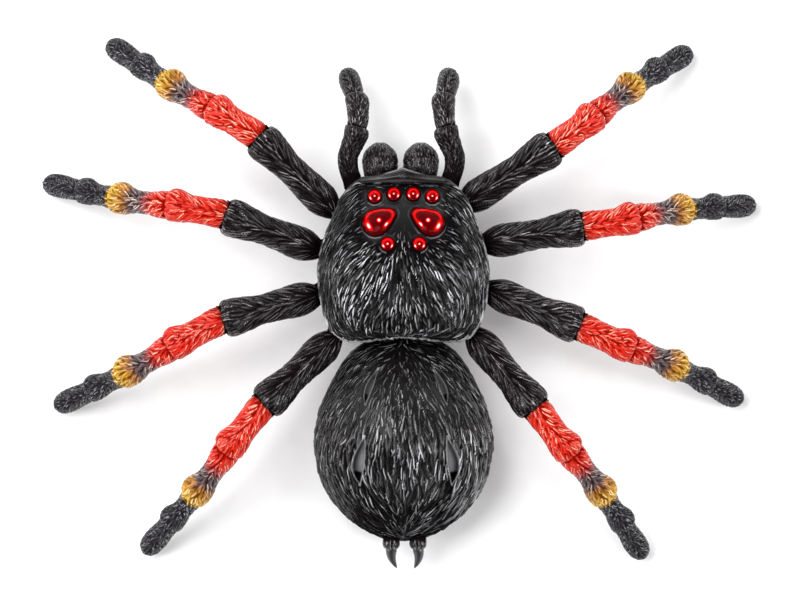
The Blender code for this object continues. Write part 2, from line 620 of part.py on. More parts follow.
def chelicera(side, name, mat):
    x = side * 8.6 + HEAD_SHIFT
    body = blob_y(f"chelicera_{name}", x, 52.0, 67.2, 29.0, 7.3, 8.4, 1.5)
    rings = []
    for t, r in ((0, 2.2), (0.35, 1.9), (0.7, 1.2), (0.95, 0.5)):
        a = math.radians(100 * t)
        cx, cz = x - side * 1.5 * t, 23.5 - 8.0 * math.sin(a)
        cy = 64.0 - 6.0 * (1 - math.cos(a))
        rings.append([(cx + r * math.cos(b), cy + r * math.sin(b), cz)
                      for b in (math.tau * i / 10 for i in range(10))])
    join(body, loft("fang", rings))
    return finish(body, mat)


PALP_PATH = ((51.9, 20.6, 30.5), (54.5, 22.0, 31.0), (58, 22.4, 31.8), (62, 22.2, 32.5),
             (65.4, 20.9, 32.9), (69.2, 19.7, 33.2), (72, 19.1, 33.3), (76, 18.2, 32.6),
             (80, 18.1, 31.0), (84.6, 18.6, 28.4), (88, 19.3, 25.6), (93, 20.7, 20.6),
             (98.6, 21.7, 14.8))
PALP_W = ((51.9, 2.7), (54.5, 3.5), (61.7, 4.0), (65.4, 4.6), (69.2, 5.0), (71.5, 5.3),
          (73.2, 5.0), (72.8, 4.2), (79.5, 4.6), (84.6, 4.9), (86.4, 4.5), (85.8, 3.8),
          (90.6, 4.5), (93.5, 4.6), (95.8, 3.9), (97.6, 2.4))


def palp_x(side, y):
    return side * smooth([(p[0], p[1]) for p in PALP_PATH], y) + HEAD_SHIFT - max(y - 76, 0) * 0.055


def palp(side, name, mat):
    zs = [(p[0], p[2]) for p in PALP_PATH]
    rings = []
    for y, r in PALP_W:
        rise = math.atan2(smooth(zs, y + 0.5) - smooth(zs, y - 0.5), 1.0)
        x, z = palp_x(side, y), smooth(zs, y)
        rings.append([(x + r * math.cos(a), y - r * 0.9 * math.sin(a) * math.sin(rise),
                       z + r * 0.9 * math.sin(a) * math.cos(rise))
                      for a in (math.tau * i / 12 for i in range(12))])
    tip = (palp_x(side, 98.5), 98.5, smooth(zs, 98.5))
    return finish(loft(f"pedipalp_{name}", rings, None, None, tip), mat)


def front_rim(mat):
    rings = []
    for i in range(11):
        u = -1 + 2 * i / 10
        x = 21.4 * u
        depth = 2.45 * (1 - abs(u) ** 6) ** 0.5 if abs(u) < 1 else 0.7
        peak = 0.8 * max(0, 1 - abs(u) * 3)
        rings.append([(x, 53.8 + peak * (math.cos(a) > 0) + max(depth, 0.7) * math.cos(a),
                       40.4 + (3.4 - 1.4 * abs(u) ** 3) * math.sin(a))
                      for a in (math.tau * j / 12 for j in range(12))])
    return finish(loft("front_rim", rings), mat)


def spinneret(side, name, mat):
    rings = []
    for y, x, r in ((-100.9, 5.5, 2.6), (-102.2, 5.6, 3.2), (-103.9, 5.5, 2.9), (-104.4, 5.5, 2.1),
                    (-107.0, 5.9, 1.8), (-109.4, 5.5, 1.3), (-110.9, 4.8, 0.8)):
        z = 26.4 - 0.16 * (-100.9 - y)
        rings.append([(side * x + r * math.cos(a), y, z + r * math.sin(a))
                      for a in (math.tau * i / 12 for i in range(12))])
    return finish(loft(f"spinneret_{name}", rings, None, None, (side * 4.4, -111.6, 24.7)), mat)


def battery(index, mats):
    x = (index - 2) * 14.7
    flip = -1 if index == 2 else 1
    mid = -56.9
    rings = []
    for y, r in ((-25.0, 7.2), (24.2, 7.2), (24.6, 2.6), (25.4, 2.6)):
        rings.append([(x + r * math.cos(a), mid + flip * y, 17.4 + r * math.sin(a))
                      for a in (math.tau * i / 18 for i in range(18))])
    return finish(loft(f"battery_{index}", rings), mats["battery"])


def battery_box(mats):
    tray = box("battery_tray", (-23.4, -85.3, 10.0), (23.4, -28.5, 25.2))
    cut(tray, box("well", (-22.3, -84.2, 9.0), (22.3, -29.6, 26.0)))
    finish(tray, mats["tray"])
    for name, y, turn in (("front", -30.4, 1), ("rear", -83.4, -1)):
        body = box(f"battery_contact_{name}", (-21.8, y - 0.35, 11.0), (21.8, y + 0.35, 23.8))
        for x in ((0.0,) if turn > 0 else (-14.7, 14.7)):
            rings = []
            for t, r in ((-0.05, 3.0), (0.5, 2.4), (0.99, 1.8)):
                rings.append([(x + r * math.cos(a), y - turn * t * 1.0, 17.4 + r * math.sin(a))
                              for a in (math.tau * i / 12 for i in range(12))])
            join(body, loft("spring", rings))
        finish(body, mats["nickel"])
    cover = prism("battery_cover", rounded(22.5, -83.7, -29.3, 4.7), 8.0, 9.5)
    cut(cover, rod_z("screw_hole", 0, -79.9, 1.3, 7, 11, 12), rod_z("sink", 0, -79.9, 2.6, 7, 8.9, 14))
    finish(cover, mats["shell"])
    screw = rod_z("cover_screw", 0, -79.9, 2.3, 8.1, 8.8, 14)
    join(screw, rod_z("shank", 0, -79.9, 1.0, 8.5, 9.9, 10))
    cut(screw, box("slot_a", (-1.4, -80.15, 7.5), (1.4, -79.65, 8.45)),
        box("slot_b", (-0.25, -81.3, 7.5), (0.25, -78.5, 8.45)))
    finish(screw, mats["steel"])


def switch(mats):
    body = box("switch_housing", (-5.0, -26.0, 10.2), (8.0, -20.6, 13.6))
    cut(body, box("track", (-2.6, -24.6, 9.5), (5.6, -21.4, 12.6)))
    finish(body, mats["steel_dull"])
    knob = box("power_switch", (-1.9, -24.4, 6.7), (1.9, -21.6, 8.4))
    join(knob, box("stem", (-1.2, -24.0, 8.2), (1.2, -22.0, 12.2)))
    finish(knob, mats["switch"], (0.0, -23.0, 8.0))


def boards(mats):
    body = box("control_board", (-13.0, -8.6, 30.6), (13.0, 20.0, 31.9))
    join(body, box("chip", (-5.0, 2.0, 31.5), (5.0, 12.0, 33.2)), rod_z("can", 9.0, 15.5, 2.5, 31.5, 34.6, 14),
         box("driver", (-10.5, -6.0, 31.5), (-4.5, -2.0, 33.0)))
    finish(body, mats["board"])
    leds = prism("eye_light_board", ((10, 45.6), (13, 41), (13, 26), (9.5, 22.2), (-9.5, 22.2),
                                     (-13, 26), (-13, 41), (-10, 45.6)), 38.0, 39.0)
    for side in (1, -1):
        for x, y in ((11.0, 43.2), (4.05, 44.0), (6.6, 24.6), (10.6, 33.9)):
            join(leds, rod_z("led", side * x, y, 1.3, 38.6, 39.8, 10))
    finish(leds, mats["board"])


def build():
    for obj in list(bpy.data.objects):
        bpy.data.objects.remove(obj, do_unlink=True)
    mats = {
        "shell": material("black_shell_plastic", (0.012, 0.011, 0.013), 0.42),
        "rim": material("gloss_black_plastic", (0.01, 0.01, 0.012), 0.15),
        "fur": material("black_fur_plastic", (0.014, 0.012, 0.014), 0.4),
        "femur": material("femur_plastic", (0.02, 0.014, 0.016), 0.4),
        "leg": material("painted_leg_plastic", (0.62, 0.06, 0.04), 0.4),
        "lens": material("red_lens_plastic", (0.5, 0.01, 0.01), 0.1, 0.0, 0.4),
        "chassis": material("chassis_plastic", (0.02, 0.02, 0.022), 0.5),
        "bar": material("white_acetal", (0.8, 0.8, 0.78), 0.4),
        "gear": material("natural_nylon", (0.85, 0.83, 0.75), 0.4),
        "gearbox": material("grey_gearbox_plastic", (0.25, 0.25, 0.27), 0.5),
        "brass": material("brass", (0.78, 0.57, 0.2), 0.3, 1.0),
        "steel": material("polished_steel", (0.6, 0.6, 0.62), 0.25, 1.0),
        "steel_dull": material("zinc_plated_steel", (0.5, 0.5, 0.52), 0.4, 1.0),
        "nickel": material("nickel_spring", (0.65, 0.63, 0.58), 0.3, 1.0),
        "wheel": material("wheel_plastic", (0.03, 0.03, 0.03), 0.45),
        "rubber": material("black_rubber", (0.02, 0.02, 0.02), 0.85),
        "tray": material("battery_tray_plastic", (0.05, 0.05, 0.055), 0.5),
        "battery": material("battery_sleeve", (0.1, 0.25, 0.12), 0.3),
        "board": material("circuit_board", (0.02, 0.18, 0.06), 0.4),
        "switch": material("switch_plastic", (0.03, 0.03, 0.03), 0.5),
    }
    carapace(mats["shell"])
    eye_cluster(mats["lens"])
    belly(mats["chassis"])
    hip_plate(mats["chassis"])
    abdomen_top(mats["fur"])
    abdomen_bottom(mats["chassis"])
    front_rim(mats["rim"])
    for side, name in ((1, "right"), (-1, "left")):
        chelicera(side, name, mats["fur"])
        palp(side, name, mats["fur"])
        spinneret(side, name, mats["rim"])
        drive_bar(side, name, mats["bar"])
        wheel(side, name, mats)
    for side, name, hip, angle, length, tip in LEGS:
        femur(side, name, hip, angle, length, mats["femur"])
        shin(side, name, hip, angle, length, tip, mats["leg"])
    gears(mats)
    motor(mats)
    caster(mats)
    for index in (1, 2, 3):
        battery(index, mats)
    battery_box(mats)
    switch(mats)
    boards(mats)


build()
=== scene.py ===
import itertools
import json
import math

import bmesh
import bpy
import numpy as np
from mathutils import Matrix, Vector


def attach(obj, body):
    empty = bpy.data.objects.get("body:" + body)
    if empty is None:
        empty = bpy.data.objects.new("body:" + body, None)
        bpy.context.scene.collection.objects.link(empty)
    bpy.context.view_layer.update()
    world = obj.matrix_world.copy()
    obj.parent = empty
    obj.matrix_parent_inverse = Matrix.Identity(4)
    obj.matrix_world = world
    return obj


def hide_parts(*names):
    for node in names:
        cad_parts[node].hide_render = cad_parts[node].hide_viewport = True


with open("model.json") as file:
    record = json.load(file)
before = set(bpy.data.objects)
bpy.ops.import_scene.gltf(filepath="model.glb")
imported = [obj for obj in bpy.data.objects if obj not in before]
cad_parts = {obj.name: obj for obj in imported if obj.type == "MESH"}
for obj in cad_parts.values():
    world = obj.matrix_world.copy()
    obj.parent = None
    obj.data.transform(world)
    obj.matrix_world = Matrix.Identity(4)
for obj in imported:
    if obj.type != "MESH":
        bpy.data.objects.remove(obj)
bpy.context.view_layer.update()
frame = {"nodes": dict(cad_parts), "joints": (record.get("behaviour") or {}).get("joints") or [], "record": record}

MM = 0.001
JOINT_AT = {j["name"]: Vector(j["pos_m"]) / MM for j in frame["joints"] if "pos_m" in j}

UV_MM = 10.0                 # millimetres per unit of a UV map
SEEDS = {"carapace": 11, "abdomen": 23, "femur": 40, "shin": 70, "palp": 91, "chelicera": 131,
         "spinneret": 151}
SIDES = ((1, "right"), (-1, "left"))

# ---- moulded strands
SMALLEST_STEP = 0.02         # least distance between a skin's points
BARE_BELOW = 0.02            # no strand grows where its rise is less
TRIES = 3.2                  # roots tried for each one that has room
CREST_OFF = 0.3              # how far the painted highlight line lies from a strand's middle, in half widths
SHINE_SHARE = 3.1            # a higher power leaves fewer strands with a bright painted highlight line

# ---- body outlines: half width at Y
CARAPACE_CENTRE_Y = 17.0
CARAPACE = ((50.6, 0.0), (50.9, 11.0), (50.2, 20.0), (47.2, 24.0), (43.0, 27.2),
            (38.9, 28.7), (28.3, 33.0), (18.0, 35.5), (9.5, 35.9), (-3.1, 34.0),
            (-11.5, 30.8), (-16.0, 25.0), (-16.6, 17.0), (-15.6, 8.0), (-15.0, 0.0))
CARAPACE_RIM_Z = 37.5
CARAPACE_TOP = ((-17, 52.0), (0, 59.0), (15, 62.0), (30, 60.5), (44, 54.0), (52, 49.0))
ABDOMEN_CENTRE_Y = -58.0
ABDOMEN = ((-13.4, 0.0), (-13.9, 8.0), (-16.4, 16.5), (-20.2, 21.8), (-25.4, 26.0),
           (-35.5, 31.5), (-43.0, 34.9), (-50.6, 36.7), (-59.9, 37.8), (-73.3, 35.3),
           (-80.9, 31.7), (-85.9, 28.1), (-90.9, 23.0), (-96.0, 15.8), (-99.0, 8.5),
           (-100.2, 0.0))
ABDOMEN_RIM_Z = 22.0
ABDOMEN_TOP = ((-100, 50.0), (-80, 60.0), (-58, 63.0), (-40, 60.5), (-25, 53.5), (-13, 44.0))
SHELL = 1.8                  # wall
INSIDE_STEP = 6              # one inside point for this many outside

# ---- legs: side, name, hip, femur angle, femur length in plan, tip
LEGS = (
    (1, "right_1", (26.2, 41.7), 32.8, 44.9, (121.7, 107.6)),
    (1, "right_2", (35.0, 24.9), 9.6, 41.7, (149.3, 42.1)),
    (1, "right_3", (36.3, 5.0), -22.0, 41.4, (144.1, -41.5)),
    (1, "right_4", (29.9, -14.0), -50.0, 40.5, (102.9, -108.0)),
    (-1, "left_1", (30.3, 39.3), 44.3, 43.6, (125.8, 109.8)),
    (-1, "left_2", (36.9, 22.4), 20.5, 41.3, (152.9, 50.4)),
    (-1, "left_3", (37.0, 3.0), -14.9, 41.0, (147.7, -45.1)),
    (-1, "left_4", (29.7, -15.5), -43.6, 40.6, (109.8, -106.7)),
)
KNEE_S = 40.3                # where the knee is in the tables below
SHIN_START, SHIN_TIP = 35.0, 118.0
FEMUR_ROWS, SHIN_ROWS, TURN_POINTS = 176, 276, 128
LEG_Z = ((-8, 30.0), (0, 30.0), (8, 34.0), (20, 41.5), (34, 48.3), (40, 50.2), (50, 51.4),
         (58, 50.2), (65, 47.2), (76, 40.2), (87, 31.4), (95, 24.2), (102, 17.8),
         (110, 10.6), (114, 7.2), (118.4, 4.0))
FEMUR_W = ((-3.6, 1.2), (-3.0, 3.0), (-1.6, 4.4), (0, 5.35), (4.2, 6.95), (8.4, 7.1),
           (16.8, 6.45), (23, 6.3), (29.4, 7.3), (34.5, 8.0), (37.4, 8.0), (39.2, 7.6),
           (40.0, 6.9), (40.3, 6.35))
# lower leg: patella, tibia, metatarsus, tarsus, each a table of radii along it
SEGMENTS = (
    ((34.0, 4.6), (38, 5.8), (40.5, 6.3), (43, 6.2), (46, 5.95), (50, 5.6), (54, 6.0),
     (57, 6.8), (59.6, 7.1), (62.0, 6.8)),
    ((60.5, 5.8), (64, 6.0), (66, 5.85), (69, 5.3), (72, 4.7), (75, 4.85), (78, 5.5),
     (80, 6.3), (82.7, 6.95), (85.7, 6.5)),
    ((83.5, 4.9), (88, 4.95), (91, 4.55), (94, 4.8), (96.5, 5.6), (98.6, 5.95), (101.0, 5.5)),
    ((99, 4.6), (103, 4.7), (106, 4.9), (109, 5.2), (112, 5.15), (114.5, 4.7), (116.6, 3.8),
     (118.0, 2.2)),
)
BOW = ((34, 0.0), (40, 0.0), (60, 0.15), (70, 0.75), (80, 1.05), (92, 0.8), (102, 0.3),
       (110, -0.2), (118, -0.5))


# ---- curves and meshes
def smooth(table, x):
    """Values of a table at x on a smooth curve through its points."""
    xs, ys = np.array(table, float).T
    if xs[0] > xs[-1]:
        xs, ys = xs[::-1], ys[::-1]
    slope = np.diff(ys) / np.diff(xs)
    tangent = np.concatenate([slope[:1], (slope[:-1] + slope[1:]) / 2, slope[-1:]])
    x = np.clip(np.asarray(x, float), xs[0], xs[-1])
    i = np.clip(np.searchsorted(xs, x, side="right") - 1, 0, len(xs) - 2)
    h = xs[i + 1] - xs[i]
    t = (x - xs[i]) / h
    return ((2 * t ** 3 - 3 * t ** 2 + 1) * ys[i] + (t ** 3 - 2 * t ** 2 + t) * h * tangent[i]
            + (3 * t ** 2 - 2 * t ** 3) * ys[i + 1] + (t ** 3 - t ** 2) * h * tangent[i + 1])


def ease(x, low, high):
    t = np.clip((np.asarray(x, float) - low) / (high - low), 0, 1)
    return t * t * (3 - 2 * t)


def bell(x, middle, width):
    return np.exp(-((x - middle) / width) ** 2)


def unit(v):
    return v / np.maximum(np.linalg.norm(v, axis=-1, keepdims=True), 1e-9)


def xyz(*parts):
    """Arrays or numbers put together as coordinates on a last axis."""
    return np.stack(np.broadcast_arrays(*parts), -1)


def circle(count):
    turn = math.tau * np.arange(count) / count
    return xyz(np.cos(turn), np.sin(turn))


def add_object(name, data):
    obj = bpy.data.objects.new(name, data)
    bpy.context.scene.collection.objects.link(obj)
    return obj


def make_mesh(name, points, faces, material, uv, layers=None):
    """Mesh piece from points and uv in mm, and a value per point for each layer."""
    mesh = bpy.data.meshes.new(name)
    mesh.from_pydata((points * MM).tolist(), [], faces)
    for key, values in (layers or {}).items():
        layer = mesh.attributes.new(key, "FLOAT", "POINT")
        layer.data.foreach_set("value", np.ravel(values).astype(np.float32))
    corners = np.zeros(len(mesh.loops), np.int32)
    mesh.loops.foreach_get("vertex_index", corners)
    spread = (uv.reshape(-1, 2) / UV_MM)[corners].astype(np.float32)
    mesh.uv_layers.new(name="UVMap").data.foreach_set("uv", spread.ravel())
    mesh.shade_smooth()
    mesh.materials.append(material)
    return add_object(name, mesh)


def face_outward(obj):
    bm = bmesh.new()
    bm.from_mesh(obj.data)
    bmesh.ops.recalc_face_normals(bm, faces=bm.faces)
    bm.to_mesh(obj.data)
    bm.free()


def fit(piece, body, slot, replaced=None):
    """Puts a piece on the body it rides and hides the CAD node it replaces; slot is not used."""
    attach(piece, body)
    if replaced:
        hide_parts(replaced)


def grid_faces(rows, cols, wraps, flip=False):
    """Quads of a grid of points, closed round its columns if it wraps."""
    r = np.arange(rows - 1)[:, None]
    c = np.arange(cols if wraps else cols - 1)[None, :]
    n = (c + 1) % cols
    quads = np.stack([r * cols + c, r * cols + n, (r + 1) * cols + n, (r + 1) * cols + c], -1)
    quads = quads.reshape(-1, 4)
    return (quads[:, ::-1] if flip else quads).tolist()


def tube_piece(name, rings, material, uv, fitting, flip=False, layers=None):
    """Closed tube from rings of points with capped ends; fitting is what fit() is told."""
    rows, cols = rings.shape[:2]
    faces = grid_faces(rows, cols, True, flip)
    first, last = list(range(cols)), list(range((rows - 1) * cols, rows * cols))
    faces.append(first if flip else first[::-1])
    faces.append(last[::-1] if flip else last)
    fit(make_mesh(name, rings.reshape(-1, 3), faces, material, uv, layers), *fitting)


# ---- moulded hair
def is_clear(kept, box, place, ahead, along, across):
    """Whether no root already kept is inside the oval round a place."""
    (px, py, pz), (ax, ay, az) = place, ahead
    for near in itertools.product(*((k - 1, k, k + 1) for k in box)):
        for ox, oy, oz in kept.get(near, ()):
            dx, dy, dz = ox - px, oy - py, oz - pz
            run = dx * ax + dy * ay + dz * az
            rest = dx * dx + dy * dy + dz * dz - run * run
            if (run / along) ** 2 + rest / (across * across) < 1:
                return False
    return True


class Skin:
    """A grid of points with its directions, and the height of the hair moulded over it."""

    def __init__(self, points, wraps, outward_from, zone=None):
        self.points, self.wraps, self.zone = points, wraps, zone
        along = np.gradient(points, axis=0)
        around = ((np.roll(points, -1, axis=1) - np.roll(points, 1, axis=1)) / 2 if wraps
                  else np.gradient(points, axis=1))
        self.step_u = np.maximum(np.linalg.norm(along, axis=-1), SMALLEST_STEP)
        self.step_v = np.maximum(np.linalg.norm(around, axis=-1), SMALLEST_STEP)
        cross = np.cross(along, around)
        self.area = np.linalg.norm(cross, axis=-1)
        self.normal = unit(cross)
        if np.mean(np.sum(self.normal * (points - outward_from), axis=-1)) < 0:
            self.normal = -self.normal
        self.u = unit(along)
        self.v = unit(np.cross(self.normal, self.u))
        if np.mean(np.sum(self.v * around, axis=-1)) < 0:
            self.v = -self.v
        self.height, self.crest, self.shine = (np.zeros(points.shape[:2]) for _ in range(3))

    def turn_of(self, flow):
        """Angle from u towards v of a field of directions in space."""
        return np.arctan2(np.sum(flow * self.v, axis=-1), np.sum(flow * self.u, axis=-1))

    def strand(self, i, j, turn, length, width, rise, bend, wave, shine):
        """One lock from (i, j): narrow and low at its root, highest before its tip."""
        rows_n, cols_n = self.height.shape
        ci, cj = math.cos(turn), math.sin(turn)
        margin = width * 0.7 + abs(bend) * length
        (lo_u, hi_u), (lo_v, hi_v) = (
            (min(0, length * a) - margin * abs(b), max(0, length * a) + margin * abs(b))
            for a, b in ((ci, cj), (cj, ci)))
        su, sv = self.step_u[i, j], self.step_v[i, j]
        rows = np.arange(max(0, i + int(lo_u / su) - 2), min(rows_n, i + int(hi_u / su) + 3))
        cols = np.arange(j + max(int(lo_v / sv) - 2, -cols_n // 3),
                         j + min(int(hi_v / sv) + 3, cols_n // 3))
        cols = cols % cols_n if self.wraps else cols[(cols >= 0) & (cols < cols_n)]
        if len(rows) < 2 or len(cols) < 2:
            return
        block = np.ix_(rows, cols)
        away = self.points[block] - self.points[i, j]
        ahead = ci * self.u[i, j] + cj * self.v[i, j]
        aside = -cj * self.u[i, j] + ci * self.v[i, j]
        t = away @ ahead / length
        on = (t > 0) & (t < 1)
        if self.zone is not None:
            on &= self.zone[block] == self.zone[i, j]
        if not on.any():
            return
        t = np.clip(t, 0, 1)
        off = away @ aside - bend * length * t * t - wave * width * np.sin(math.tau * t)
        half = width / 2 * np.maximum(np.sin(math.pi * t ** 0.75), 0.0) ** 0.7 + 0.02
        section = np.clip(1 - (off / half) ** 2, 0, 1) ** 0.75
        lift = rise * (0.3 + 0.7 * t) * (1 - t ** 9) * section * on
        # painted highlight: each strand records a line set off its middle towards the side facing -x, where the
        # key lamp is, and a strength that fades at both ends
        lit = math.copysign(CREST_OFF, -aside[0])
        over = lift > self.height[block]
        crest = np.clip(1 - np.abs(off / half - lit), 0, 1)
        self.crest[block] = np.where(over, crest, self.crest[block])
        self.shine[block] = np.where(over, shine * np.sin(math.pi * t) ** 0.35, self.shine[block])
        self.height[block] = np.maximum(self.height[block], lift)

    def coat(self, rng, turn, length, width, rise, bend=0.05, wave=0.0):
        """Low strands with taller ones side by side over them."""
        self.grow(rng, turn, length, width, rise * 0.5, (0.40, 0.80), bend, wave)
        self.grow(rng, turn, length, width, rise, (0.46, 0.84), bend, wave)

    def grow(self, rng, turn, length, width, rise, pack, bend, wave):
        """Scatters strands a set share of their size apart; the size may vary over the skin."""
        turn, length, width, rise = (np.broadcast_to(np.asarray(a, float), self.height.shape)
                                     for a in (turn, length, width, rise))
        cell, across = float(length.max()) * pack[0], width * pack[1]
        chance = (self.area * (rise > BARE_BELOW)).ravel()
        count = int(chance.sum() / (cell * float(np.median(width)) * pack[1]) * TRIES)
        kept = {}
        for pick in rng.choice(chance.size, size=count, p=chance / chance.sum()).tolist():
            i, j = divmod(pick, self.height.shape[1])
            a = turn[i, j]
            ahead = math.cos(a) * self.u[i, j] + math.sin(a) * self.v[i, j]
            place = tuple(self.points[i, j].tolist())
            box = tuple(int(c // cell) for c in place)
            if is_clear(kept, box, place, ahead.tolist(), cell, across[i, j]):
                kept.setdefault(box, []).append(place)
                self.strand(i, j, a + rng.normal(0, 0.09), length[i, j] * rng.uniform(0.75, 1.15),
                            width[i, j] * rng.uniform(0.8, 1.2), rise[i, j] * rng.uniform(0.7, 1.1),
                            rng.normal(0, bend), rng.normal(0, wave) if wave else 0.0,
                            rng.uniform() ** SHINE_SHARE)

    def layers(self, tallest):
        return {"lift": self.height / tallest, "crest": self.crest, "shine": self.shine}

    def raised(self, height, sink=0.0):
        return self.points + self.normal * (height - sink)[..., None]


# ---- domes
def outline_points(table):
    """Fine closed loop round an outline that is the same on both sides."""
    right = [(w, y) for y, w in table]
    loop = np.array(right + [(-x, y) for x, y in reversed(right[1:-1])])
    before, after, beyond = np.roll(loop, 1, 0), np.roll(loop, -1, 0), np.roll(loop, -2, 0)
    t = np.linspace(0, 1, 16, endpoint=False)[None, :, None]
    p0, p1, p2, p3 = (p[:, None, :] for p in (before, loop, after, beyond))
    fine = 0.5 * (2 * p1 + (p2 - p0) * t + (2 * p0 - 5 * p1 + 4 * p2 - p3) * t ** 2
                  + (3 * p1 - p0 - 3 * p2 + p3) * t ** 3)
    return fine.reshape(-1, 2)


def outline_radius(table, centre_y, angle):
    pts = outline_points(table)
    where = np.arctan2(pts[:, 1] - centre_y, pts[:, 0])
    order = np.argsort(where)
    reach = np.hypot(pts[:, 0], pts[:, 1] - centre_y)[order]
    return np.interp(angle, where[order], reach, period=math.tau)


class Dome:
    """A moulded shell's outside over an outline: its height falls from the crown to the rim."""

    def __init__(self, table, centre_y, rim_z, top, power, root):
        self.table, self.centre_y, self.rim_z, self.top = table, centre_y, rim_z, top
        self.power, self.root = power, root

    def fall(self, s):
        return np.clip(1 - s ** self.power, 0, 1) ** self.root

    def z(self, s, y):
        return self.rim_z + (smooth(self.top, y) - self.rim_z) * self.fall(np.clip(s, 0, 1))

    def over(self, x, y):
        """Height of the shell above places in plan."""
        angle = np.arctan2(y - self.centre_y, x)
        s = np.hypot(x, y - self.centre_y) / outline_radius(self.table, self.centre_y, angle)
        return self.z(s, y)

    def grid(self, n, wide, tall, evenness):
        """Square grid bent over the dome; returns points and how far out each is, 0 to 1."""
        a = np.linspace(-1, 1, n)
        u, v = np.meshgrid(a, a, indexing="ij")
        x, y = u * np.sqrt(1 - v * v / 2), v * np.sqrt(1 - u * u / 2)
        far = np.clip(np.hypot(x, y), 0, 1)
        s = 1 - (1 - np.linspace(0, 1, 4000)) ** 2
        run = np.cumsum(np.hypot(np.diff(s * wide), np.diff(tall * self.fall(s))))
        even = np.interp(far, np.concatenate([[0], run]) / run[-1], s)
        s = evenness * even + (1 - evenness) * far
        angle = np.arctan2(y, x)
        reach = s * outline_radius(self.table, self.centre_y, angle)
        x, y = reach * np.cos(angle), self.centre_y + reach * np.sin(angle)
        return xyz(x, y, self.z(s, y)), s


def shell_piece(name, outside, material, uv, layers):
    """Closed shell: the fine outside, a coarse inside, and a lip that joins them."""
    n, m = len(outside), (len(outside) - 1) // INSIDE_STEP + 1
    inner = outside[::INSIDE_STEP, ::INSIDE_STEP].copy()
    plan = inner[..., :2] - outside.mean(axis=(0, 1))[:2]
    size = np.linalg.norm(plan, axis=-1, keepdims=True)
    inner[..., :2] -= plan / np.maximum(size, 1e-6) * np.minimum(SHELL, size * 0.5)
    inner[1:-1, 1:-1, 2] -= SHELL * 1.2
    points = np.concatenate([outside.reshape(-1, 3), inner.reshape(-1, 3)])
    faces = grid_faces(n, n, False) + (np.array(grid_faces(m, m, False, True)) + n * n).tolist()

    def border(size, offset):
        """Numbers of the points round a square grid's edge."""
        last = size - 1
        k = np.arange(last)
        sides = [k * size, last * size + k, (last - k) * size + last, last - k]
        return (np.concatenate(sides) + offset).tolist()

    fine, coarse = border(n, 0), border(m, n * n)
    half = INSIDE_STEP // 2
    for k, here in enumerate(fine):
        near = coarse[((k + half) // INSIDE_STEP) % len(coarse)]
        faces.append([here, fine[(k + 1) % len(fine)], near])
    for k, here in enumerate(coarse):
        near = fine[(k * INSIDE_STEP + INSIDE_STEP - half) % len(fine)]
        faces.append([here, near, coarse[(k + 1) % len(coarse)]])
    layers = {key: np.append(values, np.zeros(m * m)) for key, values in layers.items()}
    uv = np.concatenate([uv.reshape(-1, 2), np.zeros((m * m, 2))])
    piece = make_mesh(name, points, faces, material, uv, layers)
    face_outward(piece)
    return piece


def shell_uv(x, y, half_width, table):
    """Plan coordinates stretched so that the UV's columns follow the outline."""
    ys, widths = zip(*table)
    return xyz(-y, x * half_width / np.maximum(np.interp(y, ys, widths), 1))


def flow_over(points, table, fan, down):
    """Directions that run rearward along the outline's own curves."""
    rows = sorted(table)
    ys = np.linspace(rows[0][0] + 0.4, rows[-1][0] - 0.4, 400)
    widths = np.interp(ys, [r[0] for r in rows], [max(r[1], 1.0) for r in rows])
    widths = np.convolve(np.pad(widths, 12, "edge"), np.ones(25) / 25, "valid")
    slope = np.interp(points[..., 1], ys, np.gradient(np.log(widths), ys))
    sideways = np.clip(-points[..., 0] * slope * fan, -1.6, 1.6)
    return unit(xyz(sideways, -1.0, down))


# ---- eyes
SMALL_EYE_R = 3.0
SMALL_EYES = ((12.05, 44.4), (4.05, 45.4), (6.6, 24.3))
BIG_EYE = ((11.6, 33.2, 5.7), (8.5, 35.1, 4.4), (5.5, 36.9, 2.55))      # circles it is drawn round


def egg_outline(side):
    """Outline drawn round the circles of a large eye, as points at even distances."""
    pts = np.concatenate([(x, y) + r * circle(60) for x, y, r in BIG_EYE])
    middle = pts.mean(axis=0)
    ways = circle(720)
    reach = np.max((pts - middle) @ ways.T, axis=0)[:, None]
    slope = (np.roll(reach, -1) - np.roll(reach, 1)) / (2 * math.tau / 720)
    hull = middle + reach * ways + slope * ways[:, ::-1] * (-1, 1)
    hull = np.concatenate([hull, hull[:1]])
    run = np.concatenate([[0], np.cumsum(np.linalg.norm(np.diff(hull, axis=0), axis=1))])
    at = np.linspace(0, run[-1], 72, endpoint=False)
    loop = xyz(*(np.interp(at, run, part) for part in hull.T))
    return loop[::side] * (side, 1.0)


def eye_distance(x, y):
    """Signed distance from the nearest eye's outline; the eyes are alike on both sides."""
    x = np.abs(x)
    found = [np.hypot(x - ex, y - ey) - SMALL_EYE_R for ex, ey in SMALL_EYES]
    loop = egg_outline(1)
    sides = np.roll(loop, -1, axis=0) - loop
    out = unit(xyz(sides[:, 1], -sides[:, 0]))
    place = xyz(x, y)[..., None, :]
    found.append(np.max(np.sum((place - loop) * out, axis=-1), axis=-1))
    return np.min(found, axis=0)


# for a large and a small eye: rings, rise, the painted light ring's strength, place and width, the size of the
# painted highlight spot and the strength of the painted glow
LENSES = {True: (34, 3.0, 0.52, 0.8, 0.09, 0.6, 0.12),
          False: (22, 1.7, 0.48, 0.62, 0.2, 0.14, 0.16)}


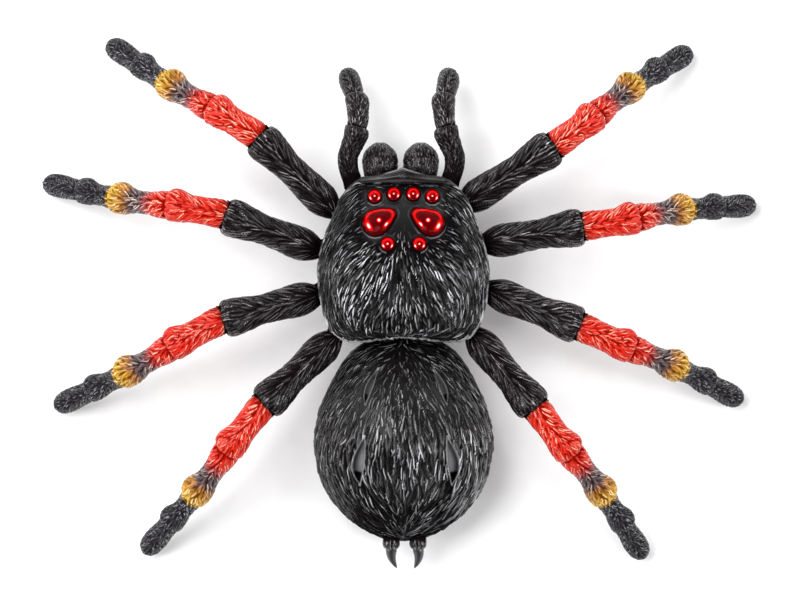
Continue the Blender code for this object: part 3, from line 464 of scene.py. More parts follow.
def lens(name, loop, middle, large, material, replaced):
    """A domed lens standing on the shell inside a closed outline."""
    rings, rise, strength, place, width, spot, painted_glow = LENSES[large]
    rows, light = [], []
    way = unit(loop - middle)
    painted_flares = sum(np.clip(way @ (x, -0.5), 0, 1) ** 12 for x in (0.86, -0.86))
    for k in np.sin(np.linspace(math.pi / 2, 0.0, rings)) ** 0.9:
        at = middle + (loop - middle) * max(k, 0.004)
        foot = CARAPACE_DOME.over(at[:, 0], at[:, 1])
        rows.append(np.column_stack([at, foot - 0.25 + rise * (1 - k ** 2.1) ** 0.6]))
        # painted light: a bright ring stronger towards the top, flares low on both sides, a highlight spot in the
        # middle and a glow that fades towards the edge
        band = strength * bell(k, place, width) * np.clip(way[:, 1] + 0.45, 0, 1) ** 0.6
        light.append(band + 1.1 * bell(k, 0.67, 0.12) * painted_flares
                     + 1.15 * np.exp(-np.sum((at - middle) ** 2, axis=-1) / spot)
                     + painted_glow * (1 - k ** 4) + 0.04)
    under = rows[0] - (0, 0, 1.2)
    points = np.array([under] + rows)
    tube_piece(name, points, material, points[..., :2], ("body", "red_lens_plastic", replaced),
               layers={"painted_glow": np.array(light[:1] + light)})


# ---- limbs
def limb_path(start, way, s, run, bow=0.0):
    """Middle of a leg at s in its tables, where run is the plan distance from start."""
    return xyz(start[0] + math.cos(way) * run - math.sin(way) * bow,
               start[1] + math.sin(way) * run + math.cos(way) * bow, smooth(LEG_Z, s))


def heading(path):
    return unit(np.gradient(path, axis=0))


def sides_of(ahead):
    """Unit vectors to the left of a heading and above it."""
    aside = unit(np.cross((0.0, 0.0, 1.0), ahead))
    return aside, np.cross(ahead, aside)


def rings_round(path, radius, angles, tall=1.0, ahead=None):
    """Rings of points round a path; radius has a row for each point of the path."""
    aside, up = sides_of(heading(path) if ahead is None else ahead)
    c, d = np.cos(angles)[:, None], np.sin(angles)[:, None]
    return path[:, None] + radius[..., None] * (aside[:, None] * c + up[:, None] * d * tall)


def ring_angles(count):
    """Angles round a limb from its underside: 0 is the head side and 90 degrees the top."""
    return -math.pi / 2 + math.tau * np.arange(count) / count


def rounded_tip(s, start, end):
    """Share of a limb's radius left as it closes towards its tip."""
    return np.sqrt(np.clip(1 - ease(s, start, end) ** 2.2, 0.0, 1))[:, None]


def segment_radius(segments, s, angles, rng, lobe=1.5, lip=0.9):
    """Radius of overlapping furry segments, each ending in a scalloped, rounded edge."""
    s, angles = np.meshgrid(s, angles, indexing="ij")
    radius, zone = smooth(segments[-1], s), np.zeros(s.shape, int)
    for number, table in enumerate(reversed(segments[:-1]), 1):
        end, last = table[-1]
        lobes = round(math.tau * last / lobe)
        phase = rng.uniform(0, math.tau)
        wobble = 0.5 * np.sin(2 * angles + phase) + 0.35 * np.sin(5 * angles + 2 * phase)
        edge = end + 0.45 * np.abs(np.sin(lobes / 2 * angles + wobble)) - 0.35 + 0.3 * wobble
        close = np.sqrt(np.clip(1 - np.clip((s - edge + lip) / lip, 0, 1) ** 2, 0, 1))
        own = smooth(table, s) + 0.55 * bell(s, end - 2.8, 2.6) * np.cos(angles - 0.5)
        radius = np.where(s < edge, radius + np.maximum(own - radius, 0) * close, radius)
        zone = np.where(s < edge, number, zone)
    return radius, zone


def feather(angles, lean):
    """Hair turning away from a limb's top line on both sides."""
    off = np.remainder(angles - math.pi / 2 + math.pi, math.tau) - math.pi
    return np.sign(off) * np.minimum(1, np.abs(off) / 0.3) * np.cos(off / 2) ** 0.7 * lean


def limb_uv(s, angles, mean_radius):
    return xyz(s[:, None], (angles + math.pi / 2) * mean_radius)


def mirrored(points, side):
    return points * np.array([side, 1.0, 1.0])


def femur_piece(leg, relief, material):
    side, name, hip, angle, reach, _ = leg
    s = np.linspace(FEMUR_W[0][0], FEMUR_W[-1][0], FEMUR_ROWS)
    angles = ring_angles(TURN_POINTS)
    way = math.radians(angle)
    path = limb_path(hip, way, s, s * reach / KNEE_S)
    rings = rings_round(path, smooth(FEMUR_W, s)[:, None] - 0.45, angles, tall=0.9)
    scoop = 2.0 * np.cos(angles) ** 2 * ease(s, 33, 40.3)[:, None]
    rings -= heading(path)[:, None] * scoop[..., None]
    skin = Skin(rings, True, path[:, None, :])
    if relief is None:
        rng = np.random.default_rng(int(name[-1]) + SEEDS["femur"])
        fade = ease(s, -2.5, 4.0) * (1 - ease(s, 39.3, 40.2))
        turn = feather(angles, 0.5) * (1 - 0.75 * ease(s, 30, 37))[:, None]
        length, rise = 7.4 - 2.8 * ease(s, 31, 36), 0.10 + 0.58 * fade
        skin.coat(rng, turn, length[:, None], 1.0, rise[:, None], bend=0.08)
        skin.height *= (1 - ease(s, 39.6, 40.3))[:, None]
        relief = skin
    depth = np.array([40.0, 39.2, 37.0, 34.0])      # the knee socket runs back into the femur
    here, there = (limb_path(hip, way, at, at * reach / KNEE_S) for at in (depth, depth + 0.5))
    radius = np.array([[6.25], [6.05], [5.95], [5.9]])
    hollow = rings_round(here, radius, angles, 0.9, unit(there - here))
    layers = {key: np.append(layer, np.zeros((len(depth), TURN_POINTS)))
              for key, layer in relief.layers(tallest=0.7).items()}
    points = np.concatenate([skin.raised(relief.height), hollow])
    tube_piece(f"femur_skin_{name}", mirrored(points, side), material,
               limb_uv(np.append(s, depth), angles, 7.0),
               (f"leg_{name}", "femur_plastic", f"femur_{name}"), side > 0, layers)
    return relief


def shin_piece(leg, relief, material):
    side, name, hip, angle, reach, tip = leg
    a = math.radians(angle)
    knee = (hip[0] + reach * math.cos(a), hip[1] + reach * math.sin(a))
    way = math.atan2(tip[1] - knee[1], tip[0] - knee[0])
    stretch = math.dist(tip, knee) / (SHIN_TIP - KNEE_S)
    s = np.linspace(SHIN_START, SHIN_TIP - 0.05, SHIN_ROWS)
    angles = ring_angles(TURN_POINTS)
    path = limb_path(knee, way, s, (s - KNEE_S) * stretch, side * smooth(BOW, s))
    rng = np.random.default_rng(int(name[-1]) + SEEDS["shin"])
    radius, zone = segment_radius(SEGMENTS, s, angles, rng)
    radius = (radius - 0.4) * rounded_tip(s, 112.6, SHIN_TIP + 1.2)
    skin = Skin(rings_round(path, radius, angles, tall=0.88), True, path[:, None, :], zone)
    if relief is None:
        fine = ease(s, 84, 90)[:, None]
        rise = (0.58 - 0.14 * fine) * (ease(s, 38, 41) * (1 - 0.5 * ease(s, 115, 118)))[:, None]
        flare = sum(bell(s, table[-1][0] - 3.0, 3.0) for table in SEGMENTS[:3])
        turn = feather(angles, 0.62) * (1 - 0.6 * np.clip(flare, 0, 1))[:, None]
        skin.coat(rng, turn, 4.6 - 1.9 * fine, 1.05 - 0.35 * fine, rise, bend=0.14, wave=0.2)
        relief = skin
    layers = {**relief.layers(tallest=0.58), "along": np.repeat(s, TURN_POINTS)}
    points = mirrored(skin.raised(relief.height), side)
    tube_piece(f"lower_leg_skin_{name}", points, material, limb_uv(s, angles, 6.0),
               (f"leg_{name}", "painted_leg_plastic", f"lower_leg_{name}"), side > 0, layers)
    return relief


HIP_Z = 30.0
HUB = ((1.85, 25.6), (2.15, 25.3), (3.1, 25.3), (3.4, 25.6), (3.4, 35.4), (3.1, 35.7),
       (2.15, 35.7), (1.85, 35.4), (1.85, 25.6))        # radius and height round its wall
ARM_LOW, ARM_HIGH = 28.2, 30.6
HUB_POINTS = 40
SHARP_FROM = math.radians(35)


def crank_piece(leg, material):
    """The hub a leg turns on, the neck out to its femur and the arm its bar pushes."""
    side, name, hip = leg[:3]
    pivot = JOINT_AT[f"leg_{name}_swing"]
    hx, hy = abs(pivot.x), pivot.y
    way = circle(HUB_POINTS)

    def upright(rows):
        return np.array([xyz(*loop.T, z) for loop, z in rows])

    hub = upright([(way * r + (hx, hy), z) for r, z in HUB])
    start, end = np.array([hx, hy, HIP_Z]), np.array([*hip, HIP_Z])
    reach = math.dist(start, end)
    run = np.array([2.7, 0.4 * reach, 0.7 * reach, reach - 0.8])
    radius = np.interp(run, [2.7, 0.55 * reach, reach], [2.5, 3.2, 4.2])[:, None]
    neck = rings_round(start + unit(end - start) * run[:, None], radius, ring_angles(HUB_POINTS))
    stretch = np.sign(way[:, :1]) * (1.0, 0.0)
    outer, slot = way * 2.8 + stretch * 1.5 + (hx - 6.5, hy), way * 1.45 + stretch + (hx - 8.0, hy)
    arm = upright([(slot, ARM_LOW), (outer, ARM_LOW), (outer, ARM_HIGH), (slot, ARM_HIGH),
                   (slot, ARM_LOW)])
    points, faces, count = [], [], 0
    for rings, closed in ((hub, True), (neck, False), (arm, True)):
        size = len(rings) * HUB_POINTS
        quads = np.array(grid_faces(len(rings), HUB_POINTS, True))
        if closed:                                      # the last ring is the first one again
            size -= HUB_POINTS
            quads, rings = quads % size, rings[:-1]
        faces += (quads + count).tolist()
        if not closed:
            faces += [list(range(k, k + HUB_POINTS)) for k in (count, count + size - HUB_POINTS)]
        points.append(rings.reshape(-1, 3))
        count += size
    points = mirrored(np.concatenate(points), side)
    piece = make_mesh(f"hip_crank_{name}", points, faces, material, points[:, :2])
    face_outward(piece)
    piece.data.set_sharp_from_angle(angle=SHARP_FROM)
    fit(piece, f"leg_{name}", "femur_plastic")


# ---- materials
class Nodes:
    """Short ways to add nodes to a tree."""

    def __init__(self, tree):
        self.tree = tree

    def feed(self, socket, value):
        if isinstance(value, bpy.types.NodeSocket):
            self.tree.links.new(value, socket)
        else:
            socket.default_value = (*value, 1.0) if socket.type == "RGBA" else value

    def node(self, kind, out=0, settings=None, **inputs):
        """Adds a node and returns one output; an input goes by its name, or by i and its number."""
        made = self.tree.nodes.new("ShaderNode" + kind)
        for key, value in (settings or {}).items():
            setattr(made, key, value)
        for key, value in inputs.items():
            self.feed(made.inputs[int(key[1:]) if key[1:].isdigit() else key], value)
        return made.outputs[out]

    def ramp(self, factor, *stops):
        made = self.tree.nodes.new("ShaderNodeValToRGB")
        bands = made.color_ramp.elements
        while len(bands) < len(stops):
            bands.new(0.5)
        for band, (at, colour) in zip(bands, stops):
            band.position, band.color = at, (*colour, 1.0)
        self.feed(made.inputs[0], factor)
        return made.outputs[0]

    def math(self, how, a, b=0.0, clamp=False):
        return self.node("Math", 0, {"operation": how, "use_clamp": clamp}, i0=a, i1=b)

    def times(self, a, b, clamp=False):
        return self.math("MULTIPLY", a, b, clamp)

    def scaled(self, value, start, span):
        """How far a value is along a span that begins at start."""
        return self.math("DIVIDE", self.math("SUBTRACT", value, start), span)

    def mix(self, factor, a, b, how="MIX"):
        return self.node("Mix", 2, {"data_type": "RGBA", "blend_type": how}, i0=factor, i6=a, i7=b)


class Look(Nodes):
    """A material's node tree round one Principled shader."""

    def __init__(self, name, **sockets):
        self.material = bpy.data.materials.new(name)
        self.material.use_nodes = True
        super().__init__(self.material.node_tree)
        self.shader = self.tree.nodes["Principled BSDF"].inputs
        for key, value in sockets.items():
            self.shader[key.replace("_", " ")].default_value = value

    def set(self, socket, value):
        self.tree.links.new(value, self.shader[socket])

    def layer(self, name):
        return self.node("Attribute", 2, {"attribute_name": name})

    def noise(self, space, scale, detail=2.0, rough=0.5, stretch=(1, 1, 1)):
        where = self.node("TexCoord", {"UV": 2, "Object": 3}[space])
        where = self.node("Mapping", 0, None, Vector=where, Scale=stretch)
        return self.node("TexNoise", 0, None, Vector=where, Scale=scale, Detail=detail,
                         Roughness=rough)

    def painted_glints(self):
        """Painted highlight lines along the strands, of differing strength."""
        line = self.node("MapRange", 0, {"interpolation_type": "SMOOTHSTEP"},
                         i0=self.layer("crest"), i1=0.55, i2=0.92, i3=0.0, i4=1.0)
        return self.times(line, self.layer("shine"))

    def bump(self, height, strength, distance):
        self.set("Normal", self.node("Bump", 0, None, Height=height, Strength=strength,
                                     Distance=distance))

    def hair(self, stretch, spread, rough, strength, depth):
        """Fine lines along the strands, in the roughness and in a faint bump."""
        fine = self.noise("UV", 9.0, 4.0, 0.6, (1.0, stretch, 1.0))
        self.set("Roughness", self.math("ADD", self.times(fine, spread), rough))
        self.bump(fine, strength, depth)


def rgb(r, g, b):
    """Linear colour from an 8-bit screen colour."""
    return tuple((c / 255 / 12.92) if c <= 10 else ((c / 255 + 0.055) / 1.055) ** 2.4
                 for c in (r, g, b))


def fur_look(name, groove, ridge, cast, highlight_paint):
    look = Look(name, IOR=1.5)
    lift = look.layer("lift")
    broad = look.noise("Object", 45.0, 3.0)
    # painted shade: grooves and strands below half the tallest height keep the darker groove colour, taller
    # strands turn towards the ridge colour
    colour = look.ramp(lift, (0.0, groove), (0.5, groove), (1.0, ridge))
    colour = look.mix(look.times(broad, 0.4), colour, cast)
    # painted highlight lines in the bright colour, stronger in broad patches
    patch = look.node("MapRange", 0, None, i0=look.noise("Object", 70.0, 2.0), i1=0.3, i2=0.65,
                      i3=0.35, i4=1.0)
    look.set("Base Color", look.mix(look.times(look.painted_glints(), patch), colour, highlight_paint))
    look.set("Specular IOR Level", look.times(look.math("POWER", lift, 1.35), 0.85, True))
    look.hair(stretch=7.0, spread=0.14, rough=0.2, strength=0.3, depth=0.0001)
    return look.material


SPRAY_START, SPRAY_SPAN = 35.0, 84.0        # the part of a lower leg that the colour ramps cover
BLACK, WHITE = (0, 0, 0), (1, 1, 1)


def leg_look():
    """Red, mauve and gold bands with ragged edges, then a dark grey tip, with painted shade in the grooves and
    painted highlight lines on the strands.
    """
    look = Look("leg_paint", IOR=1.5)
    lift, along = look.layer("lift"), look.layer("along")
    ragged = look.noise("UV", 3.2, 3.0, 0.6, (1, 3, 1))
    ragged = look.times(look.math("SUBTRACT", ragged, 0.5), 7.0)
    at = look.scaled(look.math("ADD", along, ragged), SPRAY_START, SPRAY_SPAN)
    red, deep, grey = rgb(218, 35, 14), rgb(188, 18, 20), rgb(60, 59, 65)
    mauve, amber, gold = rgb(104, 88, 96), rgb(206, 136, 46), rgb(240, 186, 38)

    def along_leg(*stops):
        return look.ramp(at, *(((s - SPRAY_START) / SPRAY_SPAN, colour) for s, colour in stops))

    base = along_leg((35, red), (66, red), (69.5, deep), (73, mauve), (77, mauve), (80, amber),
                     (83.5, gold))
    dark = look.ramp(look.scaled(along, 80.0, 10.0), (0.70, BLACK), (0.76, WHITE))
    dark = look.node("SeparateColor", 0, None, Color=dark)
    base = look.mix(dark, base, grey)
    # painted shade: grooves and low strands darkened through a ramp on lift, more strongly past the red
    shade = look.ramp(lift, (0.0, (0.28, 0.18, 0.18)), (0.35, (0.7, 0.6, 0.6)), (0.7, WHITE))
    past_red = look.node("SeparateColor", 0, None, Color=along_leg((68, BLACK), (74, WHITE)))
    deeper_shade = look.ramp(lift, (0.0, (0.14, 0.11, 0.11)), (0.4, (0.5, 0.47, 0.45)),
                       (0.8, (1.0, 1.0, 0.95)))
    shade = look.mix(past_red, shade, deeper_shade)
    shade = look.mix(look.times(dark, 0.15), shade, WHITE)
    colour = look.mix(1.0, base, shade, "MULTIPLY")
    # painted highlight lines: cream on the coloured bands, grey on the dark tip
    painted_highlight_colour = look.mix(dark, look.mix(0.62, base, (1.0, 0.8, 0.58)), (0.34, 0.34, 0.355))
    look.set("Base Color", look.mix(look.times(look.painted_glints(), 1.8, True), colour, painted_highlight_colour))
    look.set("Specular IOR Level", look.times(lift, 0.5, True))
    look.hair(stretch=6.0, spread=0.16, rough=0.2, strength=0.35, depth=0.00012)
    return look.material


def lens_look():
    look = Look("red_lens", IOR=1.5, Specular_IOR_Level=0.03)
    cloud = look.noise("Object", 260.0, 2.0)
    veins = look.times(look.math("SUBTRACT", cloud, 0.5), 0.16)
    # painted light: the lens's painted light layer, with a little noise, runs from a dark red core through bright
    # red to a pinkish-white highlight
    look.set("Base Color", look.ramp(
        look.math("ADD", look.layer("painted_glow"), veins), (0.0, (0.03, 0.0, 0.001)),
        (0.22, (0.10, 0.0, 0.001)), (0.6, (0.75, 0.002, 0.002)), (0.85, (0.95, 0.05, 0.03)),
        (1.0, (1.0, 0.85, 0.8))))
    look.set("Roughness", look.math("ADD", look.times(cloud, 0.06), 0.09))
    return look.material


def plastic_look(name, colour, rough, grain=0.15, scale=900.0, metal=0.0, coat=0.0):
    look = Look(name, Metallic=metal, IOR=1.5, Coat_Weight=coat, Coat_Roughness=0.1)
    fine, broad = look.noise("Object", scale, 3.0), look.noise("Object", 60.0, 3.0)
    light = tuple(min(1.0, c * 1.35 + 0.004) for c in colour)
    look.set("Base Color", look.mix(broad, colour, light))
    look.set("Roughness", look.math("ADD", look.times(broad, 0.12), rough - 0.06))
    look.bump(fine, grain, 0.00005)
    return look.material


# ---- body
CARAPACE_DOME = Dome(CARAPACE, CARAPACE_CENTRE_Y, CARAPACE_RIM_Z, CARAPACE_TOP,
                     power=2.4, root=0.55)
ABDOMEN_DOME = Dome(ABDOMEN, ABDOMEN_CENTRE_Y, ABDOMEN_RIM_Z, ABDOMEN_TOP, power=2.2,
                    root=0.5)


def carapace_piece(material):
    points, s = CARAPACE_DOME.grid(289, wide=36.0, tall=24.0, evenness=0.75)
    skin = Skin(points, False, (0.0, CARAPACE_CENTRE_Y, 20.0))
    x, y = points[..., 0], points[..., 1]
    fan = unit(xyz(x, -np.maximum(34.0 - y, 6.0)))
    fan = xyz(fan[..., 0], fan[..., 1], -0.1)
    outer = ease(s, 0.55, 0.9)[..., None]
    turn = skin.turn_of(fan * (1 - outer) + flow_over(points, CARAPACE, 1.0, -0.25) * outer)
    eye = eye_distance(x, y)
    calm = ease(eye, 0.8, 6.0) * (0.35 + 0.65 * ease(-y, -26.0, -10.0) + 0.4 * ease(s, 0.6, 0.95))
    bare = ease(y, 23.0, 30.0) * (1 - ease(np.abs(x), 13.0, 20.0)) * (1 - ease(y, 47.0, 49.0))
    rise = np.clip(calm, 0.2, 1.0) * (eye > 0.9) * (1 - 0.85 * bare)
    calm = np.clip(calm, 0, 1)
    rng = np.random.default_rng(SEEDS["carapace"])
    skin.coat(rng, turn, 3.6 + 3.2 * calm, 1.0 + 0.42 * calm, rise, bend=0.08, wave=0.08)
    socket = 0.38 * bell(eye, 0.55, 0.42) - 1.3 * ease(-eye, -0.15, 0.5)
    lip = 0.5 * ease(s, 0.972, 0.985) * (1 - ease(s, 0.992, 1.0))
    near_eye = np.maximum(socket, skin.height * ease(eye, 0.6, 1.3) + socket)
    total = np.where(eye < 1.3, near_eye, skin.height) + lip
    # painted highlights on the rear lip and on the rims of the eye sockets, more on the side below
    below = (eye_distance(x, y - 0.3) - eye) / 0.3 * ((np.abs(x) > 7.0) & (y < 42.0))
    edge_highlights = ((0.05 + 0.3 * (y < -12)) * (lip > 0.3)
             + (0.02 + 0.10 * np.clip(below, 0, 1)) * bell(eye, 0.7, 0.4))
    # painted highlight lines made stronger on both sides of the middle
    glint_boost = 0.75 + 1.1 * bell(np.abs(x), 16.0, 10.0) * bell(y, 8.0, 13.0)
    layers = {"lift": np.maximum(skin.height, 0.45 * bare),
              "crest": np.where(edge_highlights > 0.04, 1.0, skin.crest * (eye > 0.9)),
              "shine": np.maximum(skin.shine * glint_boost * (1 - 0.75 * bare), edge_highlights)}
    uv = shell_uv(x, y, 36.0, ((-16, 28), (9, 36), (50, 24)))
    piece = shell_piece("carapace_skin", skin.raised(total, sink=0.55), material, uv, layers)
    fit(piece, "body", "black_shell_plastic", "carapace_shell")


# slots in the abdomen: inner front point, inner rear point, bulge outward, depth
SLOTS = (((17.4, -56.1), (19.3, -75.5), 3.9, 2.6), ((11.9, -27.6), (17.1, -41.6), 2.0, 1.8))
SLOT_MIDDLE = 1.0            # the slots lie alike on both sides of this x


def slot_shape(x, y, slot):
    """How far inside a leaf-shaped slot a place is, and its shares of the way out and rearward."""
    (fx, fy), (rx, ry), bulge, _ = slot
    length = math.hypot(rx - fx, ry - fy)
    ux, uy = (rx - fx) / length, (ry - fy) / length
    side_x = np.abs(x - SLOT_MIDDLE)
    along = ((side_x - fx) * ux + (y - fy) * uy) / length
    out = (side_x - fx) * -uy + (y - fy) * ux
    t = np.clip(along, 0, 1)
    outer = bulge * np.sin(math.pi * t ** 1.3) ** 0.8
    inner = -0.18 * bulge * np.sin(math.pi * t)
    ends = np.minimum(along, 1 - along) * length * 0.5
    inside = np.minimum(np.minimum(outer - out, out - inner), ends)
    return inside, np.clip((out - inner) / np.maximum(outer - inner, 0.2), 0, 1), t


def abdomen_piece(material):
    points, s = ABDOMEN_DOME.grid(307, wide=37.0, tall=41.0, evenness=0.8)
    skin, ridges = (Skin(points, False, (0.0, ABDOMEN_CENTRE_Y, 10.0)) for _ in range(2))
    x, y = points[..., 0], points[..., 1]
    sway = 0.16 * np.sin(x * 0.42 + np.sin(y * 0.16) * 1.8) * np.sin(y * 0.21 + x * 0.1)
    turn = skin.turn_of(flow_over(points, ABDOMEN, 1.05, -0.2)) + sway
    rear, flank = ease(-y, 30.0, 62.0), ease(s, 0.55, 0.85)
    inside = np.max([slot_shape(x, y, slot)[0] for slot in SLOTS], axis=0)
    rise = (0.16 + np.clip(rear + 0.5 * flank, 0, 1)) * (ease(-y, 14.5, 24.0) * 0.85 + 0.15)
    rise = rise * (1 - 0.85 * ease(inside, -1.6, -0.5)) * (inside <= -0.5)
    rng = np.random.default_rng(SEEDS["abdomen"])
    skin.coat(rng, turn, 7.2 + 2.2 * rear - 1.4 * flank, 1.8 - 0.25 * flank, rise, bend=0.07,
              wave=0.16)
    fore = (1 - ease(-y, 46.0, 66.0)) * ease(-y, 16.0, 24.0) * (inside < -1.0) * (s < 0.8)
    ridges.grow(rng, turn, 7.0, 1.0, 0.8 * fore, pack=(0.7, 2.0), bend=0.1, wave=0.3)
    top = ridges.height > skin.height
    height = np.maximum(skin.height, ridges.height)
    tail = ease(-y, 72.0, 88.0) * (1 - ease(np.abs(x), 18.0, 30.0))
    shine = np.where(top, 0.12 + 0.6 * ridges.shine,
                     skin.shine * (0.15 + 0.7 * np.clip(rear + 0.6 * flank, 0, 1)))
    floor, rim = np.zeros_like(height), np.zeros_like(height)
    for slot in SLOTS:
        within, out, t = slot_shape(x, y, slot)
        depth = slot[3]
        rim += 0.17 * depth * bell(within, -0.3, 0.32)
        floor += depth * (0.4 + 0.6 * out + 0.9 * ease(t, 0.74, 0.8)) * ease(within, -0.1, 0.45)
    height *= ease(-inside, 0.1, 0.6)
    satin = 0.5 * (1 - ease(-y, 40.0, 62.0)) * (s < 0.9)
    # inside the slots: a painted sheen, a little stronger in the rear slots and weaker where the floor is deeper,
    # which is painted shade
    shine = np.where(inside > -0.1, (0.09 + 0.13 * (y < -50)) * (1 - 0.35 * floor),
                     shine * (1 - 0.35 * tail))
    # the slot floors take a lighter base colour, less where deeper as painted shade, and the slot rims a painted
    # highlight line
    layers = {"lift": np.where(inside > -0.2, 0.75 - 0.16 * floor,
                               np.maximum(height / 1.15 * (1 - 0.95 * tail), satin)),
              "crest": np.where((inside > -0.1) | (rim > 0.2), 1.0,
                                np.where(top, ridges.crest, skin.crest)),
              "shine": np.maximum(shine, 0.75 * rim ** 1.4)}
    points = skin.raised(np.maximum(height, rim) + 0.3 * ease(s, 0.975, 0.985), sink=0.65)
    points[..., 2] -= floor
    uv = shell_uv(x, y, 37.0, ((-100, 20), (-60, 38), (-14, 18)))
    fit(shell_piece("abdomen_skin", points, material, uv, layers), "body", "black_fur_plastic",
        "abdomen_top_shell")


# ---- mouthparts: Y, X and Z of the palp's middle, and radii at Y
PALP_PATH = ((48.5, 20.0, 29.4), (51.9, 20.8, 30.4), (54.5, 21.7, 31.0), (58, 22.4, 31.8),
             (62, 22.2, 32.5), (65.4, 20.9, 32.9), (69.2, 19.7, 33.2), (72, 19.1, 33.3),
             (76, 18.2, 32.6), (80, 18.1, 31.0), (84.6, 18.6, 28.4), (88, 19.3, 25.6),
             (93, 20.7, 20.6), (98.8, 21.7, 14.6))
PALP_SEGMENTS = (
    ((48.5, 1.9), (51.9, 2.5), (54.5, 3.2), (57.5, 3.7), (61.7, 3.95), (65.4, 4.5), (69.2, 4.9),
     (71.5, 5.2), (73.3, 4.9)),
    ((72.0, 4.2), (75.7, 4.3), (79.5, 4.5), (82.2, 4.8), (84.6, 4.9), (86.4, 4.5)),
    ((84.6, 3.6), (88, 4.05), (90.6, 4.4), (93.5, 4.6), (95.8, 4.1), (97.6, 2.9), (98.8, 1.6)),
)
HEAD_SHIFT, JAW_SHIFT = -0.9, -1.25     # the mouthparts sit a little to the left
PALPS_BEND_Y, PALPS_LEAN = 76, 0.055     # ahead of this the palps lean left too


def mouthpart(points, side, shift):
    """Mirrors a mouthpart to its side and moves it to where it sits."""
    points = mirrored(points, side)
    points[..., 0] += shift - np.maximum(points[..., 1] - PALPS_BEND_Y, 0) * PALPS_LEAN
    return points


def palp_piece(side, name, material):
    s = np.linspace(PALP_PATH[0][0], 98.7, 190)
    angles = ring_angles(112)
    at, across, high = zip(*PALP_PATH)
    path = xyz(smooth(tuple(zip(at, across)), s), s, smooth(tuple(zip(at, high)), s))
    rng = np.random.default_rng(SEEDS["palp"])
    radius, zone = segment_radius(PALP_SEGMENTS, s, angles, rng, lobe=1.2, lip=0.7)
    radius = (radius - 0.2) * rounded_tip(s, 95.5, 99.4)
    skin = Skin(rings_round(path, radius, angles, tall=0.9), True, path[:, None, :], zone)
    rise = (0.56 * ease(s, 52, 60))[:, None]
    skin.coat(rng, feather(angles, 0.45), 2.6, 0.78, rise, bend=0.1)
    layers = skin.layers(tallest=0.56)
    for key in ("lift", "shine"):
        layers[key] = layers[key] * (0.4 + 0.6 * ease(s, 60, 76))[:, None]
    points = mouthpart(skin.raised(skin.height), side, HEAD_SHIFT)
    tube_piece(f"pedipalp_skin_{name}", points, material, limb_uv(s, angles, 5.0),
               ("body", "black_fur_plastic", f"pedipalp_{name}"), side > 0, layers)


def chelicera_piece(side, name, fur, horn):
    t = np.linspace(0, 1, 110)
    y, z = 52.0 + 15.0 * np.sin(t * math.pi / 2) ** 0.9, 29.0 - 1.5 * t
    swell = 0.9 + 0.1 * np.sin(math.pi * np.clip(t * 1.3, 0, 1))
    close = np.sqrt(np.clip(1 - np.clip((y - 58.3) / 8.85, 0, 1) ** 2.2, 0.0003, 1))
    angles, spread = ring_angles(120), (swell * close)[:, None]
    rings = xyz(8.6 - spread * 7.4 * np.cos(angles), y[:, None],
                z[:, None] + spread * 8.2 * np.sin(angles))
    skin = Skin(rings, True, xyz(8.6, y, z)[:, None, :])
    rng = np.random.default_rng(SEEDS["chelicera"])
    rise = (0.62 * ease(y, 52.5, 55))[:, None]
    skin.coat(rng, feather(angles, 0.25), 3.6, 0.75, rise, bend=0.1)
    layers = skin.layers(tallest=0.62)
    layers["shine"] = layers["shine"] * 0.6
    points = mouthpart(skin.raised(skin.height, sink=0.1), side, JAW_SHIFT)
    tube_piece(f"chelicera_skin_{name}", points, fur, limb_uv(y, angles, 7.0),
               ("body", "black_fur_plastic", f"chelicera_{name}"), side > 0, layers)
    t = np.linspace(0, 1, 40)
    bow = np.radians(100 * t)
    path = xyz(8.3 - 1.5 * t, 64.0 - 6.0 * (1 - np.cos(bow)), 23.5 - 8.0 * np.sin(bow))
    radius = np.interp(t, [0, 0.35, 0.7, 0.97, 1.0], [2.2, 1.9, 1.2, 0.35, 0.05])[:, None]
    angles = ring_angles(28)
    points = mouthpart(rings_round(path, radius, angles), side, JAW_SHIFT)
    tube_piece(f"fang_{name}", points, horn, limb_uv(t * 14, angles, 2.0),
               ("body", "gloss_black_plastic"), side > 0)


def front_rim_piece(material):
    """The glossy bow over the chelicerae, with a groove along it and a peak in the middle."""
    u = np.linspace(-1, 1, 121)[:, None]
    out = np.abs(u)
    peak = np.clip(1 - out / 0.62, 0, 1) ** 1.3
    front, back = 53.3 + 3.2 * peak - 0.9 * out ** 4, 50.2 - 1.2 * out ** 6
    top = 44.2 + 0.9 * peak - 4.2 * out ** 3 + 0.5 * bell(u, 0, 0.035)
    low = top - 5.6 + 1.2 * out ** 2
    ends = np.sqrt(np.clip(1 - out ** 14, 0.004, 1))
    c, d = circle(96).T
    block = (np.abs(c) ** 2.2 + np.abs(d) ** 2.2) ** (1 / 2.2)
    c, d = c / block, d / block
    rings = xyz(19.2 * u - 0.35, (front + back) / 2 + (front - back) / 2 * ends * c,
                (top + low) / 2 + (top - low) / 2 * ends * d)
    rings[..., 2] -= 0.7 * bell(c, 0.25, 0.16) * (d > 0) * (1 - out ** 4)
    ahead = (c[None, :] + 1) / 2
    # painted highlights: soft bands on both sides of the top, a line along the front edge of the peak and a line
    # along the back
    shine = (0.11 * bell(ahead, 0.55, 0.2) * bell(out, 0.6, 0.22)
             + 0.30 * bell(ahead, 0.92, 0.06) * (1 - ease(out, 0.3, 0.45))
             + 0.12 * bell(ahead, 0.1, 0.08)) * (d > 0)
    layers = {"lift": np.full_like(shine, 0.55), "crest": np.ones_like(shine), "shine": shine}
    tube_piece("front_rim_skin", rings, material, rings[..., :2],
               ("body", "gloss_black_plastic", "front_rim"), False, layers)


# ---- tail
TAIL_SHIFT, HORNS_BEND_Y, HORNS_LEAN = 0.46, -103.0, 0.05


def tailpiece(points, side):
    """Mirrors a tail part to its side and moves it to where it sits."""
    points = mirrored(points, side)
    points[..., 0] += TAIL_SHIFT + np.maximum(HORNS_BEND_Y - points[..., 1], 0) * HORNS_LEAN
    return points


